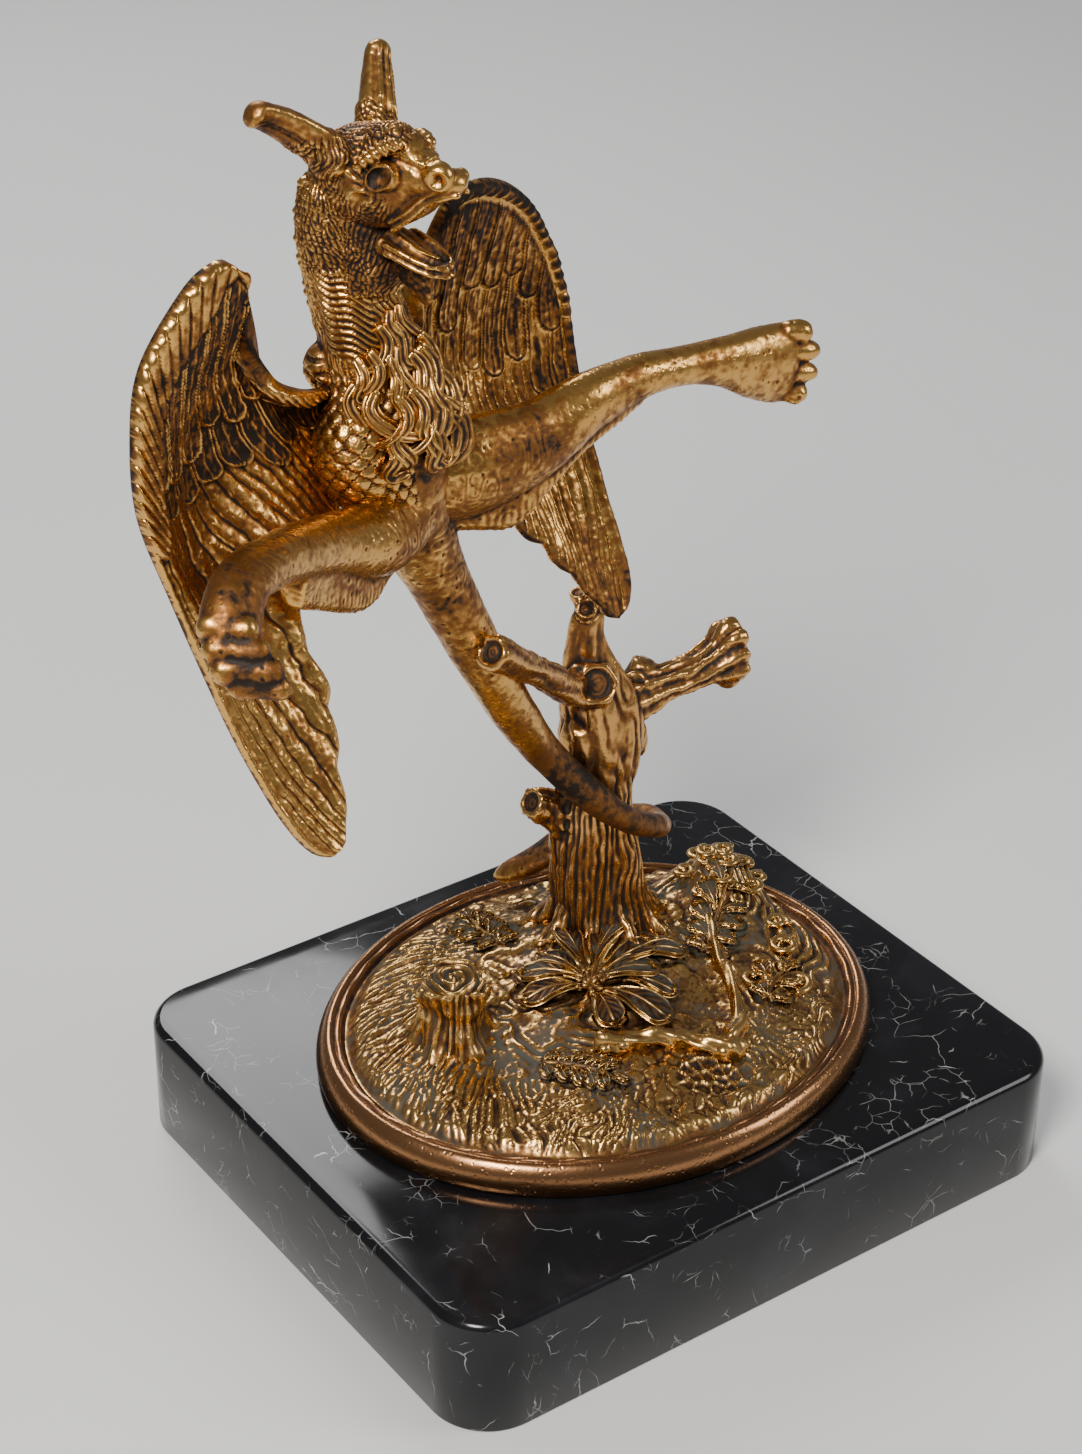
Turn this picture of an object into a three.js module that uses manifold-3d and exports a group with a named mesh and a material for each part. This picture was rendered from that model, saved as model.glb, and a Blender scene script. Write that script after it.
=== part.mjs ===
// A fabulous beast with ears, wings and outstretched forelegs, cast in bronze. Its long tail winds round
// a tree stump that is cast in one with a leafy oval ground, and the oval stands on a marble plinth.
// Millimetres, +Z up. The origin is at the middle of the plinth's underside, X along its long side.
import * as THREE from "three";
import { mergeVertices } from "three/addons/utils/BufferGeometryUtils.js";
import Module from "manifold-3d";

// Driving dimensions
const plinth = { length: 200, depth: 168, height: 35, cornerRadius: 17, chamfer: 2.2 };
const oval = { halfLength: 81, halfDepth: 68 };
const joint = 0.3; // gap between pieces that touch
const facing = THREE.MathUtils.degToRad(17); // the beast looks along -Y, turned this far towards +X
const headTurn = THREE.MathUtils.degToRad(19);
const headLift = THREE.MathUtils.degToRad(15);
const groundFloor = plinth.height + joint;

// Where the main forms are, in the part's frame
const trunkFoot = new THREE.Vector3(17, 22, 50);
const torso = new THREE.Vector3(-62.6, 5, 242);
const headMiddle = new THREE.Vector3(-65, 2, 298);
const knoll = { x: 57, y: 19, height: 16, spread: 13 };
const pool = { x: 17, y: -20, depth: 1.6, spread: 10 };

// Directions of the beast: to its own left, forwards and up
const up = new THREE.Vector3(0, 0, 1);
const leftward = new THREE.Vector3(Math.cos(facing), Math.sin(facing), 0);
const forward = new THREE.Vector3(Math.sin(facing), -Math.cos(facing), 0);

const wasm = await Module();
wasm.setup();

/** The closed solid of a geometry, turned right side out. */
function solidOf(geometry) {
  const bare = geometry.clone();
  for (const extra of ["normal", "uv"]) bare.deleteAttribute(extra);
  const merged = mergeVertices(bare, 1e-4);
  const faces = new Uint32Array(merged.index.array);
  const points = merged.attributes.position;
  const [a, b, c] = [new THREE.Vector3(), new THREE.Vector3(), new THREE.Vector3()];
  let volume = 0;
  for (let i = 0; i < faces.length; i += 3) {
    a.fromBufferAttribute(points, faces[i]);
    b.fromBufferAttribute(points, faces[i + 1]);
    c.fromBufferAttribute(points, faces[i + 2]);
    volume += a.dot(b.cross(c));
  }
  if (volume < 0) {
    for (let i = 0; i < faces.length; i += 3) {
      [faces[i + 1], faces[i + 2]] = [faces[i + 2], faces[i + 1]];
    }
  }
  const mesh = new wasm.Mesh({ numProp: 3, vertProperties: points.array, triVerts: faces });
  return new wasm.Manifold(mesh);
}

/** One solid from many that touch. */
function cast(pieces) {
  return pieces.reduce((whole, piece) => whole.add(piece));
}

/** A named mesh of a solid. */
function meshOf(name, solid, material) {
  const { vertProperties, triVerts, numProp } = solid.getMesh();
  const points = new Float32Array((vertProperties.length / numProp) * 3);
  for (let i = 0; i < points.length / 3; i += 1) {
    points.set(vertProperties.subarray(i * numProp, i * numProp + 3), i * 3);
  }
  const geometry = new THREE.BufferGeometry();
  geometry.setAttribute("position", new THREE.BufferAttribute(points, 3));
  geometry.setIndex(new THREE.BufferAttribute(triVerts, 1));
  geometry.computeVertexNormals();
  const mesh = new THREE.Mesh(geometry, material);
  mesh.name = name;
  return mesh;
}

/** Move each vertex of a geometry to the place that `place(x, y, z)` gives. */
function reshape(geometry, place) {
  const points = geometry.attributes.position;
  for (let i = 0; i < points.count; i += 1) {
    const to = place(points.getX(i), points.getY(i), points.getZ(i));
    points.setXYZ(i, to.x, to.y, to.z);
  }
  return geometry;
}

/**
 * A closed bar along a smooth line. A station is [x, y, z, half-width, half-height], and `across` is the
 * direction of the half-width. relief(t, angle) scales the section, t running from 0 to 1 along the line.
 */
function bar(stations, across, sides, steps, relief = () => 1) {
  const line = new THREE.CatmullRomCurve3(stations.map(([x, y, z]) => new THREE.Vector3(x, y, z)));
  const sizes = new THREE.SplineCurve(stations.map(([, , , w, h]) => new THREE.Vector2(w, h ?? w)));
  const place = (x, y, z) => {
    const t = THREE.MathUtils.clamp(y + 0.5, 0, 1);
    const along = line.getTangent(t);
    const side = across.clone().addScaledVector(along, -across.dot(along)).normalize();
    const other = side.clone().cross(along);
    const size = sizes.getPoint(t);
    const scale = relief(t, Math.atan2(z, x));
    return line
      .getPoint(t)
      .addScaledVector(side, x * Math.abs(size.x) * scale)
      .addScaledVector(other, z * Math.abs(size.y) * scale);
  };
  return solidOf(reshape(new THREE.CylinderGeometry(1, 1, 1, sides, steps), place));
}

/** A closed plate: place(p, q, face) maps p and q from 0 to 1, face 0 at the back and 1 at the front. */
function plate(columns, rows, place) {
  const geometry = new THREE.BoxGeometry(1, 1, 1, columns, rows, 1);
  return solidOf(reshape(geometry, (x, y, z) => place(x + 0.5, y + 0.5, z + 0.5)));
}

/** A round body of three half-sizes, turned to the given axes. */
function boss(middle, sizes, axes = [leftward, forward, up], sides = 8, rings = 6) {
  const place = (x, y, z) =>
    middle
      .clone()
      .addScaledVector(axes[0], x * sizes[0])
      .addScaledVector(axes[1], z * sizes[1])
      .addScaledVector(axes[2], y * sizes[2]);
  return solidOf(reshape(new THREE.SphereGeometry(1, sides, rings), place));
}

const hill = (x, y, at, spread) => Math.exp(-((x - at.x) ** 2 + (y - at.y) ** 2) / spread ** 2);

/** Height of the ground inside the rim. */
function groundHeight(x, y) {
  const reach = (x / (oval.halfLength * 0.92)) ** 2 + (y / (oval.halfDepth * 0.92)) ** 2;
  return (
    plinth.height +
    8 +
    9 * (1 - reach) +
    6 * hill(x, y, trunkFoot, 20) +
    knoll.height * hill(x, y, knoll, knoll.spread) -
    pool.depth * hill(x, y, pool, pool.spread)
  );
}

/** The marble block with rounded corners and a chamfered top edge. */
function makePlinth() {
  const { length, depth, height, cornerRadius, chamfer } = plinth;
  const x = length / 2 - chamfer;
  const y = depth / 2 - chamfer;
  const r = cornerRadius - chamfer;
  const outline = new THREE.Shape();
  outline.moveTo(x - r, -y);
  outline.absarc(x - r, -y + r, r, -Math.PI / 2, 0);
  outline.absarc(x - r, y - r, r, 0, Math.PI / 2);
  outline.absarc(-x + r, y - r, r, Math.PI / 2, Math.PI);
  outline.absarc(-x + r, -y + r, r, Math.PI, 1.5 * Math.PI);
  const block = new THREE.ExtrudeGeometry(outline, {
    depth: height - 2 * chamfer,
    bevelEnabled: true,
    bevelThickness: chamfer,
    bevelSize: chamfer,
    bevelSegments: 1,
    curveSegments: 5,
  });
  block.translate(0, 0, chamfer);
  // The lower edge is only broken, so the lower chamfer is pressed down to the underside.
  return solidOf(reshape(block, (px, py, pz) => squareFoot(px, py, pz)));
}

/** Widen the underside of the plinth to its full outline, all but a small broken edge. */
function squareFoot(px, py, pz) {
  const { chamfer } = plinth;
  const point = new THREE.Vector3(px, py, pz);
  if (pz > 0.1 && pz < chamfer + 0.1) point.z = 0.6;
  if (pz < 0.1) {
    const grow = (chamfer - 0.6) / Math.hypot(px, py);
    point.x += px * grow;
    point.y += py * grow;
  }
  return point;
}

/** The oval rim moulding and the ground inside it, with low tufts. */
function makeOval() {
  const around = 36;
  const rim = [
    [0, 0],
    [0.985, 0],
    [1, 2.4],
    [0.99, 6.4],
    [0.958, 9.3],
    [0.93, 9],
    [0.912, 7.6],
  ];
  const rings = [0.87, 0.72, 0.54, 0.3, 0];
  const profile = [
    ...rim.map(([r, z]) => new THREE.Vector2(r, z)),
    ...rings.map((r) => new THREE.Vector2(r, 9)),
  ];
  const groundStart = 0.9;
  const place = (x, y, z) => {
    const point = new THREE.Vector3(x * oval.halfLength, -z * oval.halfDepth, groundFloor + y);
    const r = Math.hypot(x, z);
    if (y > 8.5 && r < groundStart) {
      const tuft = Math.sin(0.9 * point.x + 0.5 * point.y) * Math.sin(0.8 * point.y - 0.4 * point.x);
      point.z = groundHeight(point.x, point.y) + 0.9 * tuft * Math.min(1, 2 * r);
    }
    return point;
  };
  return solidOf(reshape(new THREE.LatheGeometry(profile, around), place));
}

/** A bar with a flared, cut end, such as the stub of a branch. */
function branch(stations, across, steps) {
  return bar(stations, across, 7, steps, (t, angle) => 1 + 0.09 * Math.sin(4 * angle + 5 * t));
}

/** The trunk with its grooves, roots, burls and cut branches. */
function makeTree() {
  const bark = (t, angle) => 1 + 0.1 * Math.sin(7 * angle + 2.5 * t) + 0.04 * Math.sin(3 * angle - 9 * t);
  const trunk = bar(
    [
      [18, 22, 48, 17, 16],
      [17.4, 22, 58, 13.5, 13],
      [15.5, 22, 74, 12, 12],
      [13.8, 22, 90, 11.4, 11],
      [14.6, 22, 100, 9.6, 9.6],
      [15.8, 22, 110, 11.5, 11],
      [15.6, 22, 120, 11.6, 11],
      [13, 22, 131, 9.6, 9.6],
      [10, 22, 141, 7.6, 7.6],
      [9.4, 22, 150, 6.4, 6.4],
      [10.5, 22, 157, 6.2, 6.2],
      [10.7, 22, 159.5, 5, 5],
    ],
    leftward,
    14,
    11,
    bark,
  );
  const leftBranch = branch(
    [
      [9, 18, 136, 6],
      [-3, 11, 141, 5],
      [-17, 5, 153, 4.6],
      [-30, -0.5, 164, 4.6],
      [-37, -3, 169.5, 5],
      [-38.4, -3.4, 170.6, 3.6],
    ],
    up,
    5,
  );
  const rightBranch = branch(
    [
      [12, 22, 122, 8],
      [25, 21, 124, 7],
      [41, 20, 125.5, 5.4],
      [52, 19.5, 127, 6.6],
      [59, 19, 128, 8.4],
      [60.5, 19, 128.3, 6],
    ],
    up,
    5,
  );
  const facingKnot = branch(
    [
      [10, 20, 133, 7.5],
      [6.5, 13, 138, 7],
      [4, 8.6, 141, 6.6],
      [3.4, 7.6, 141.6, 5],
    ],
    up,
    3,
  );
  const lowStub = branch(
    [
      [8, 24, 92, 6],
      [-1, 26, 97, 5.4],
      [-6, 26, 100, 5],
      [-7.5, 26, 101, 3.4],
    ],
    up,
    3,
  );
  const rightStub = branch(
    [
      [27, 23, 124, 5],
      [32, 24, 131, 4],
      [33, 24, 133, 2.4],
    ],
    leftward,
    3,
  );
  const topStub = branch(
    [
      [13, 22, 150, 4.6],
      [15.5, 24, 157, 4.4],
      [16, 24.4, 159, 3],
    ],
    leftward,
    3,
  );
  const burls = [
    boss(new THREE.Vector3(6, 20, 117), [9, 8, 8], undefined, 7, 4),
    boss(new THREE.Vector3(26, 22, 111), [5, 6, 7], undefined, 6, 4),
  ];
  const roots = [];
  const rootCount = 5;
  for (let i = 0; i < rootCount; i += 1) {
    const turn = (i / rootCount) * 2 * Math.PI + 0.4;
    const reach = 21 + 5 * Math.sin(2.3 * i);
    const away = (distance, lift, size) => {
      const x = trunkFoot.x + distance * Math.cos(turn);
      const y = trunkFoot.y + distance * Math.sin(turn);
      return [x, y, groundHeight(x, y) + lift, size];
    };
    roots.push(bar([away(7, 9, 4), away(13, 2.5, 3.8), away(reach, -1, 2.2)], up, 5, 3));
  }
  return [trunk, leftBranch, rightBranch, facingKnot, lowStub, rightStub, topStub, ...burls, ...roots];
}

/** A leaf that lies on the ground, with a raised rib and a curled tip. */
function leaf(from, to, halfWidth, lift) {
  const along = new THREE.Vector3().subVectors(to, from);
  const side = along.clone().cross(up).normalize();
  return plate(2, 2, (p, q, face) => {
    const width = halfWidth * Math.sin(Math.PI * (0.16 + 0.74 * q));
    const fold = Math.abs(p - 0.5) * 2;
    return from
      .clone()
      .addScaledVector(along, q)
      .addScaledVector(side, (p - 0.5) * 2 * width)
      .addScaledVector(up, lift * Math.sin(Math.PI * q) + fold * 1.4 + (face - 1) * 6);
  });
}

const onGround = (x, y, lift = 0) => new THREE.Vector3(x, y, groundHeight(x, y) + lift);

/** Clusters of leaves, sprigs, a low stump, twigs and scrolls on the ground. */
function makeUndergrowth() {
  const pieces = [];
  const cluster = new THREE.Vector2(-6, -5);
  const clusterLeaves = 6;
  for (let i = 0; i < clusterLeaves; i += 1) {
    const turn = -1.45 + (i * 4.9) / clusterLeaves;
    const reach = 21 - 4 * Math.abs(Math.sin(1.7 * i));
    const from = onGround(cluster.x + 3 * Math.cos(turn), cluster.y + 3 * Math.sin(turn), 2.4);
    const to = onGround(cluster.x + reach * Math.cos(turn), cluster.y + reach * Math.sin(turn), 1.6);
    pieces.push(leaf(from, to, 5.4, 2.6));
  }
  const sprigs = [
    { x: 36, y: 0, turn: 0.55, leaves: 3, reach: 16 },
    { x: -24, y: 32, turn: 2.1, leaves: 2, reach: 15 },
    { x: 46, y: -22, turn: 5.4, leaves: 2, reach: 14 },
  ];
  for (const sprig of sprigs) {
    for (let i = 0; i < sprig.leaves; i += 1) {
      const turn = sprig.turn + (i - (sprig.leaves - 1) / 2) * 0.75;
      const from = onGround(sprig.x, sprig.y, 1.2);
      const x = sprig.x + sprig.reach * Math.cos(turn);
      const y = sprig.y + sprig.reach * Math.sin(turn);
      pieces.push(leaf(from, onGround(x, y, 1.6), 4.4, 2.4));
    }
  }
  const stump = new THREE.Vector3(-43.4, 5.6, 45);
  pieces.push(
    bar(
      [
        [stump.x, stump.y, stump.z - 4, 14],
        [stump.x, stump.y, stump.z + 5, 11],
        [stump.x - 0.5, stump.y, stump.z + 14, 8.8],
        [stump.x - 0.8, stump.y - 0.6, stump.z + 20, 9.4],
        [stump.x - 1, stump.y - 1, stump.z + 24, 8.4],
        [stump.x - 1.1, stump.y - 1.2, stump.z + 25, 6],
      ],
      leftward,
      10,
      5,
      (t, angle) => 1 + 0.08 * Math.sin(5 * angle + 2 * t),
    ),
  );
  const twig = [
    [...onGround(37, 0, 1.5), 1.9],
    [...onGround(31, -12, 1.8), 1.9],
    [...onGround(26, -24, 1.8), 1.9],
    [...onGround(19, -36, 1.6), 2],
    [...onGround(14, -44, 1.4), 3],
  ];
  const bough = [
    [...onGround(-17, -28, 1.8), 3.2],
    [...onGround(-10, -32, 1.8), 2.2],
    [...onGround(2, -37, 2), 2.2],
    [...onGround(12, -44, 2), 3.4],
    [...onGround(17, -48, 1.2), 2.4],
  ];
  pieces.push(bar(twig, up, 5, 6), bar(bough, up, 5, 6));
  const scrolls = 3;
  for (let i = 0; i < scrolls; i += 1) {
    const turn = -0.7 + i * 0.9;
    const x = knoll.x + 9 * Math.cos(turn);
    const y = knoll.y + 9 * Math.sin(turn);
    pieces.push(boss(onGround(x, y, 0.4), [4, 4, 2.6], undefined, 6, 4));
  }
  return pieces;
}

/** Row pattern of overlapping scales: 1 at a scale's free edge, 0 where it starts. */
function scales(t, angle, rows, around) {
  const row = t * rows;
  const shift = Math.floor(row) % 2 ? 0.5 : 0;
  const across = Math.abs(((((angle / (2 * Math.PI)) * around + shift) % 1) + 1) % 1 - 0.5) * 2;
  return (row % 1) * (1 - 0.5 * across * across);
}

/** The neck, breast and long tapering body down to the coil round the trunk. */
function bodyAndTail(extra = 0) {
  const breast = 0.5;
  const bodySides = 14;
  const bodyRings = 18;
  const grown = (stations) => stations.map(([x, y, z, w, h]) => [x, y, z, w + extra, h + extra]);
  const relief = (t, angle) => {
    if (t > breast) return 1 + 0.02 * Math.sin(5 * angle + 40 * t);
    return 1 + 0.05 * scales(t, angle, bodyRings / 2, bodySides / 2);
  };
  const body = bar(
    grown([
      [-72, 11, 296, 6, 6],
      [-69.5, 12, 283, 8.6, 8.4],
      [-67, 10, 268, 9.6, 9.6],
      [-65, 7.5, 254, 12, 11.6],
      [-62.7, 4.5, 238, 16, 13.6],
      [-60.5, 3.5, 222, 14.4, 12.6],
      [-55, 5, 206, 10, 9.6],
      [-47, 6.4, 189, 7.8, 7.8],
      [-38.8, 7.2, 172, 7, 7],
      [-30.4, 8, 156, 6.4, 6.4],
    ]),
    leftward,
    bodySides,
    bodyRings,
    relief,
  );
  const tail = bar(
    grown([
      [-38.8, 7.2, 172, 6.6, 6.6],
      [-30.4, 8, 156, 6.4, 6.4],
      [-20.5, 10.5, 139, 5.8, 5.8],
      [-8, 15, 121, 5, 5.2],
      [4, 10, 105.5, 4.2, 4.6],
      [16, 8.5, 94, 3.6, 4],
      [30.5, 14, 84, 3.4, 3.6],
      [36, 29, 77, 3.4, 3.6],
      [28, 42, 71, 3.4, 3.8],
      [14, 46.5, 65, 3, 4.4],
      [5, 53, 59, 2, 3],
      [1, 56, 57, 0.8, 1],
    ]),
    up,
    8,
    16,
  );
  return [body, tail];
}

/** Wing outlines: [outwards, forwards, up] from the shoulder, leading edge first, then the trailing edge. */
const rightWing = {
  side: -1,
  shoulder: new THREE.Vector3(-82.9, 3, 242),
  leading: [
    [-6, -2, 6],
    [7, 0, 10],
    [17, 0, 16],
    [24, 0, 28],
    [25.5, 1, 42],
    [32, 2, 50.5],
    [43, 1, 46],
    [55, 0, 34],
    [59, 0, 18],
    [58.5, 0, 0],
    [55, 5, -20],
    [49, 15, -50],
    [43, 24, -69],
    [37, 31, -83],
  ],
  trailing: [
    [-12, -3, 3],
    [-11, -3, -13],
    [-6, 0, -27],
    [13, 6, -34],
    [20, 12, -43],
    [20, 18, -55],
    [26, 26, -73],
    [33, 31, -84],
  ],
};
const leftWing = {
  side: 1,
  shoulder: new THREE.Vector3(-46, 18.9, 242),
  leading: [
    [-6, -2, 2],
    [4, 0, 6],
    [5.5, 0, 18],
    [8.5, 0, 29],
    [16, 1, 38.5],
    [28, 2, 38.5],
    [43, 1, 29.5],
    [54, 0, 15],
    [60, 0, 0],
    [60, 3, -15],
    [58.5, 8, -32],
    [56, 15, -48],
    [54, 20, -60],
    [50, 26.5, -74],
  ],
  trailing: [
    [-12, -3, 1],
    [-11, -3, -13],
    [-5, 0, -28],
    [12, 5, -36],
    [21, 12, -44.5],
    [27, 16, -52],
    [34, 21, -63],
    [44, 27, -75],
  ],
};

/** A wing: a bowed blade with three tiers of long raised feathers and a rolled, ribbed leading edge. */
function makeWing({ side, shoulder, leading, trailing }) {
  const feathers = 10;
  const rows = 4;
  const curve = (points) => new THREE.CatmullRomCurve3(points.map((point) => new THREE.Vector3(...point)));
  const lead = curve(leading);
  const trail = curve(trailing);
  const tiers = [0.4, 0.7];
  return plate(feathers * 2, rows, (p, q, face) => {
    const from = lead.getPointAt(p);
    const to = trail.getPointAt(p);
    const local = from.lerp(to, q);
    const crest = Math.round(p * feathers * 2) % 2;
    const bow = 11 * Math.sin(Math.PI * Math.min(1, q * 1.1)) * Math.sin(Math.PI * Math.min(0.9, p + 0.12));
    const roll = q < 0.1 ? 2.2 : 0;
    const tier = tiers.filter((edge) => q > edge).length;
    const half = 1 + roll * 0.6;
    const relief = face ? crest * 1.7 + (2 - tier) * 0.6 : 0.5 * crest;
    const depth = -bow + roll + (face ? half + relief : -half);
    return shoulder
      .clone()
      .addScaledVector(leftward, side * local.x)
      .addScaledVector(forward, local.y + depth)
      .addScaledVector(up, local.z);
  });
}

/** A foreleg with a flared paw and four clawed toes, and the fringed hem of fur below its shoulder. */
function makeForeleg({ stations, across, toes, hem }) {
  const leg = bar(stations, across, 8, 9);
  const pieces = [leg];
  for (const { from, to } of toes) {
    const middle = from.clone().lerp(to, 0.6).addScaledVector(up, 0.8);
    pieces.push(
      bar([[...from, 2.3], [...middle, 2.6], [...to, 1.2]], across, 4, 2),
    );
  }
  pieces.push(hem);
  return pieces;
}

/** A plate of fur below a shoulder, cut to points along its lower edge. */
function furHem(inner, outer, drop, side) {
  return plate(6, 1, (p, q, face) => {
    const point = Math.round(p * 6) % 2 ? 1.5 : 0;
    const along = inner.clone().lerp(outer, p);
    return along
      .addScaledVector(drop, (1 - q) * (1 - 0.55 * p))
      .addScaledVector(up, q === 0 ? -point : 0)
      .addScaledVector(side, (face - 0.5) * (2.4 + 4 * q));
  });
}

/** Both forelegs: the left one reaches out level, the right one is lifted and its paw hangs. */
function makeForelegs() {
  const left = makeForeleg({
    stations: [
      [-56, 3, 222, 9, 8],
      [-43.5, 0, 224.5, 8.4, 7.6],
      [-25, -1, 226.5, 7, 7],
      [-7.5, -1, 231, 6.2, 6],
      [8.4, 0, 231.5, 5.6, 5.2],
      [24, 0, 230.5, 5.2, 4.8],
      [36, 0, 228.4, 6.4, 5],
      [47, 1, 225, 9, 5],
      [56, 1, 222.6, 9.2, 4.6],
      [60, 1, 221.5, 7.6, 3.4],
    ],
    across: up,
    toes: [-7, -2.4, 2.4, 7].map((offset) => ({
      from: new THREE.Vector3(57, 1, 222.4 + offset),
      to: new THREE.Vector3(65 - Math.abs(offset) * 0.25, 0, 220.5 + offset * 1.15),
    })),
    hem: furHem(
      new THREE.Vector3(-50, 2, 214),
      new THREE.Vector3(-10, -1, 226),
      new THREE.Vector3(6, -3, -9),
      forward,
    ),
  });
  const right = makeForeleg({
    stations: [
      [-60, 2, 214, 9, 8],
      [-73, -6, 213.5, 8.8, 8],
      [-91, -15, 221, 7.4, 7],
      [-106, -25, 228, 6.4, 6.2],
      [-119, -34, 233, 6, 5.8],
      [-130, -42, 235.5, 6.4, 6],
      [-135.6, -48, 232, 7.6, 6.6],
      [-137, -51, 226, 8.4, 6.2],
      [-136.4, -52.6, 221, 8, 5],
      [-136, -53.4, 218.4, 6, 3.6],
    ],
    across: leftward,
    toes: [-6.4, -2.2, 2.2, 6.4].map((offset) => ({
      from: new THREE.Vector3(-136.5 + offset, -53 + offset * 0.4, 222),
      to: new THREE.Vector3(-133 + offset * 1.05, -57 + offset * 0.4, 215.6 - offset * 0.25),
    })),
    hem: furHem(
      new THREE.Vector3(-70, -4, 207),
      new THREE.Vector3(-101, -21, 218),
      new THREE.Vector3(1, -1, -9),
      forward,
    ),
  });
  return [...left, ...right];
}

/** The head with ears, brows, eyes, nostrils and open jaws. */
function makeHead() {
  const ahead = new THREE.Vector3(Math.sin(headTurn), -Math.cos(headTurn), 0);
  const aside = new THREE.Vector3(Math.cos(headTurn), Math.sin(headTurn), 0);
  const nose = ahead.clone().multiplyScalar(Math.cos(headLift)).addScaledVector(up, Math.sin(headLift));
  const crown = up.clone().multiplyScalar(Math.cos(headLift)).addScaledVector(ahead, -Math.sin(headLift));
  const at = (fore, side, high) =>
    headMiddle
      .clone()
      .addScaledVector(nose, fore)
      .addScaledVector(aside, side)
      .addScaledVector(crown, high);
  const axes = [aside, nose, crown];
  const skull = bar(
    [
      [...at(-17, 0, 0), 3, 3],
      [...at(-13, 0, 0), 8, 8],
      [...at(-6, 0, 0.6), 10, 10.4],
      [...at(1, 0, -0.4), 10, 11.4],
      [...at(7, 0, -0.4), 8.4, 9.6],
      [...at(12, 0, 0.6), 6.4, 6.6],
      [...at(17, 0, -0.6), 5, 4.8],
      [...at(21.5, 0, -1.6), 4.4, 3.6],
      [...at(24, 0, -2.4), 2.6, 2],
    ],
    aside,
    11,
    8,
  );
  const throat = bar(
    [
      [...at(-9, 0, -4), 8, 8],
      [...at(-9, 0, -14), 8, 8.4],
      [...at(-10, 0, -24), 8.4, 8.6],
    ],
    aside,
    10,
    2,
  );
  const jaw = bar(
    [
      [...at(-3, 0, -13), 5.6, 2.6],
      [...at(3, 0, -15.6), 5.2, 2],
      [...at(9, 0, -18.6), 4.4, 1.6],
      [...at(14, 0, -21), 2.8, 1.3],
      [...at(16.4, 0, -22), 0.8, 0.8],
    ],
    aside,
    8,
    5,
  );
  const tongue = bar(
    [
      [...at(2, 0, -13.4), 2.4, 1.4],
      [...at(8, 0, -16.4), 2.4, 1.2],
      [...at(13, 0, -19.2), 1.4, 0.8],
    ],
    aside,
    6,
    3,
  );
  const pieces = [skull, throat, jaw, tongue];
  for (const side of [-1, 1]) {
    const droop = side < 0 ? 1.8 : 0;
    const ear = bar(
      [
        [...at(-5, side * 6, 6 - droop), 5.4, 4.6],
        [...at(-6.4, side * 10.5, 12 - droop), 5.2, 4.8],
        [...at(-8.6, side * 15.5, 17.6 - droop), 4.4, 4],
        [...at(-10.6, side * 20, 22.4 - droop), 2.8, 2.6],
        [...at(-11.4, side * 22.6, 24.8 - droop), 1.8, 1.6],
      ],
      nose,
      8,
      5,
      (t, angle) => 1 - 0.34 * Math.max(0, Math.sin(angle * side)),
    );
    const brow = bar(
      [
        [...at(-1, side * 8.6, 3.4), 1.6],
        [...at(3, side * 8.6, 6.4), 2.2],
        [...at(8, side * 7, 7.8), 2.2],
        [...at(11, side * 5, 7.4), 1.8],
        [...at(13, side * 4, 5.8), 1.2],
      ],
      crown,
      5,
      4,
    );
    const nostril = boss(at(20.8, side * 2.8, 0.4), [2.4, 2.6, 2.4], axes, 6, 4);
    const eye = boss(at(7, side * 7, 2), [2, 3.6, 3.2], axes, 6, 4);
    pieces.push(ear, brow, nostril, eye);
  }
  return pieces;
}

/** Wavy locks of the mane down the breast, and the short crest on the nape. */
function makeMane() {
  const pieces = [];
  const rows = 3;
  const columns = 3;
  for (let row = 0; row < rows; row += 1) {
    for (let column = 0; column < columns; column += 1) {
      const spread = column - (columns - 1) / 2;
      const turn = spread * 0.8 + (row % 2 ? 0.2 : -0.2);
      const radius = 10.5 + row * 2.2;
      const lock = (drop, size, out = 0) => {
        const swing = turn + 0.22 * Math.sin(drop * 0.5);
        const middle = torso.clone().addScaledVector(up, 26 - row * 12 - drop);
        middle.addScaledVector(leftward, -1.6 + (radius + out) * Math.sin(swing));
        middle.addScaledVector(forward, -2.6 + row * 0.8 + (radius + out) * Math.cos(swing) * 0.9);
        return [...middle, size];
      };
      const stations = [lock(0, 2.4), lock(5, 3.8), lock(11, 3.4, 1), lock(17, 1.4, 3)];
      pieces.push(bar(stations, leftward, 5, 3));
    }
  }
  const spikes = 5;
  for (let i = 0; i < spikes; i += 1) {
    const height = 291 - i * 7.4;
    const back = new THREE.Vector3(-71 + i * 0.5, 12 - i * 0.2, height);
    const root = back.clone().addScaledVector(forward, -5.5);
    const tip = back.clone().addScaledVector(forward, -11.5).addScaledVector(up, 1.4);
    pieces.push(bar([[...root, 1.6, 2.6], [...tip, 0.5, 0.6]], leftward, 4, 1));
  }
  const hump = torso.clone().addScaledVector(up, 14).addScaledVector(leftward, -7);
  pieces.push(boss(hump.addScaledVector(forward, -11), [7, 6, 9], undefined, 8, 5));
  return pieces;
}

const marble = new THREE.MeshStandardMaterial({ color: 0x17181a, roughness: 0.16, metalness: 0 });
const brownBronze = new THREE.MeshStandardMaterial({ color: 0x8a5a2c, roughness: 0.42, metalness: 0.9 });
const giltBronze = new THREE.MeshStandardMaterial({ color: 0xb98a3e, roughness: 0.34, metalness: 0.95 });

const beast = cast([
  ...bodyAndTail(),
  makeWing(rightWing),
  makeWing(leftWing),
  ...makeForelegs(),
  ...makeHead(),
  ...makeMane(),
]);
const seat = cast(bodyAndTail(joint));
const ground = cast([makeOval(), ...makeTree(), ...makeUndergrowth()]).subtract(seat);

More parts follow.
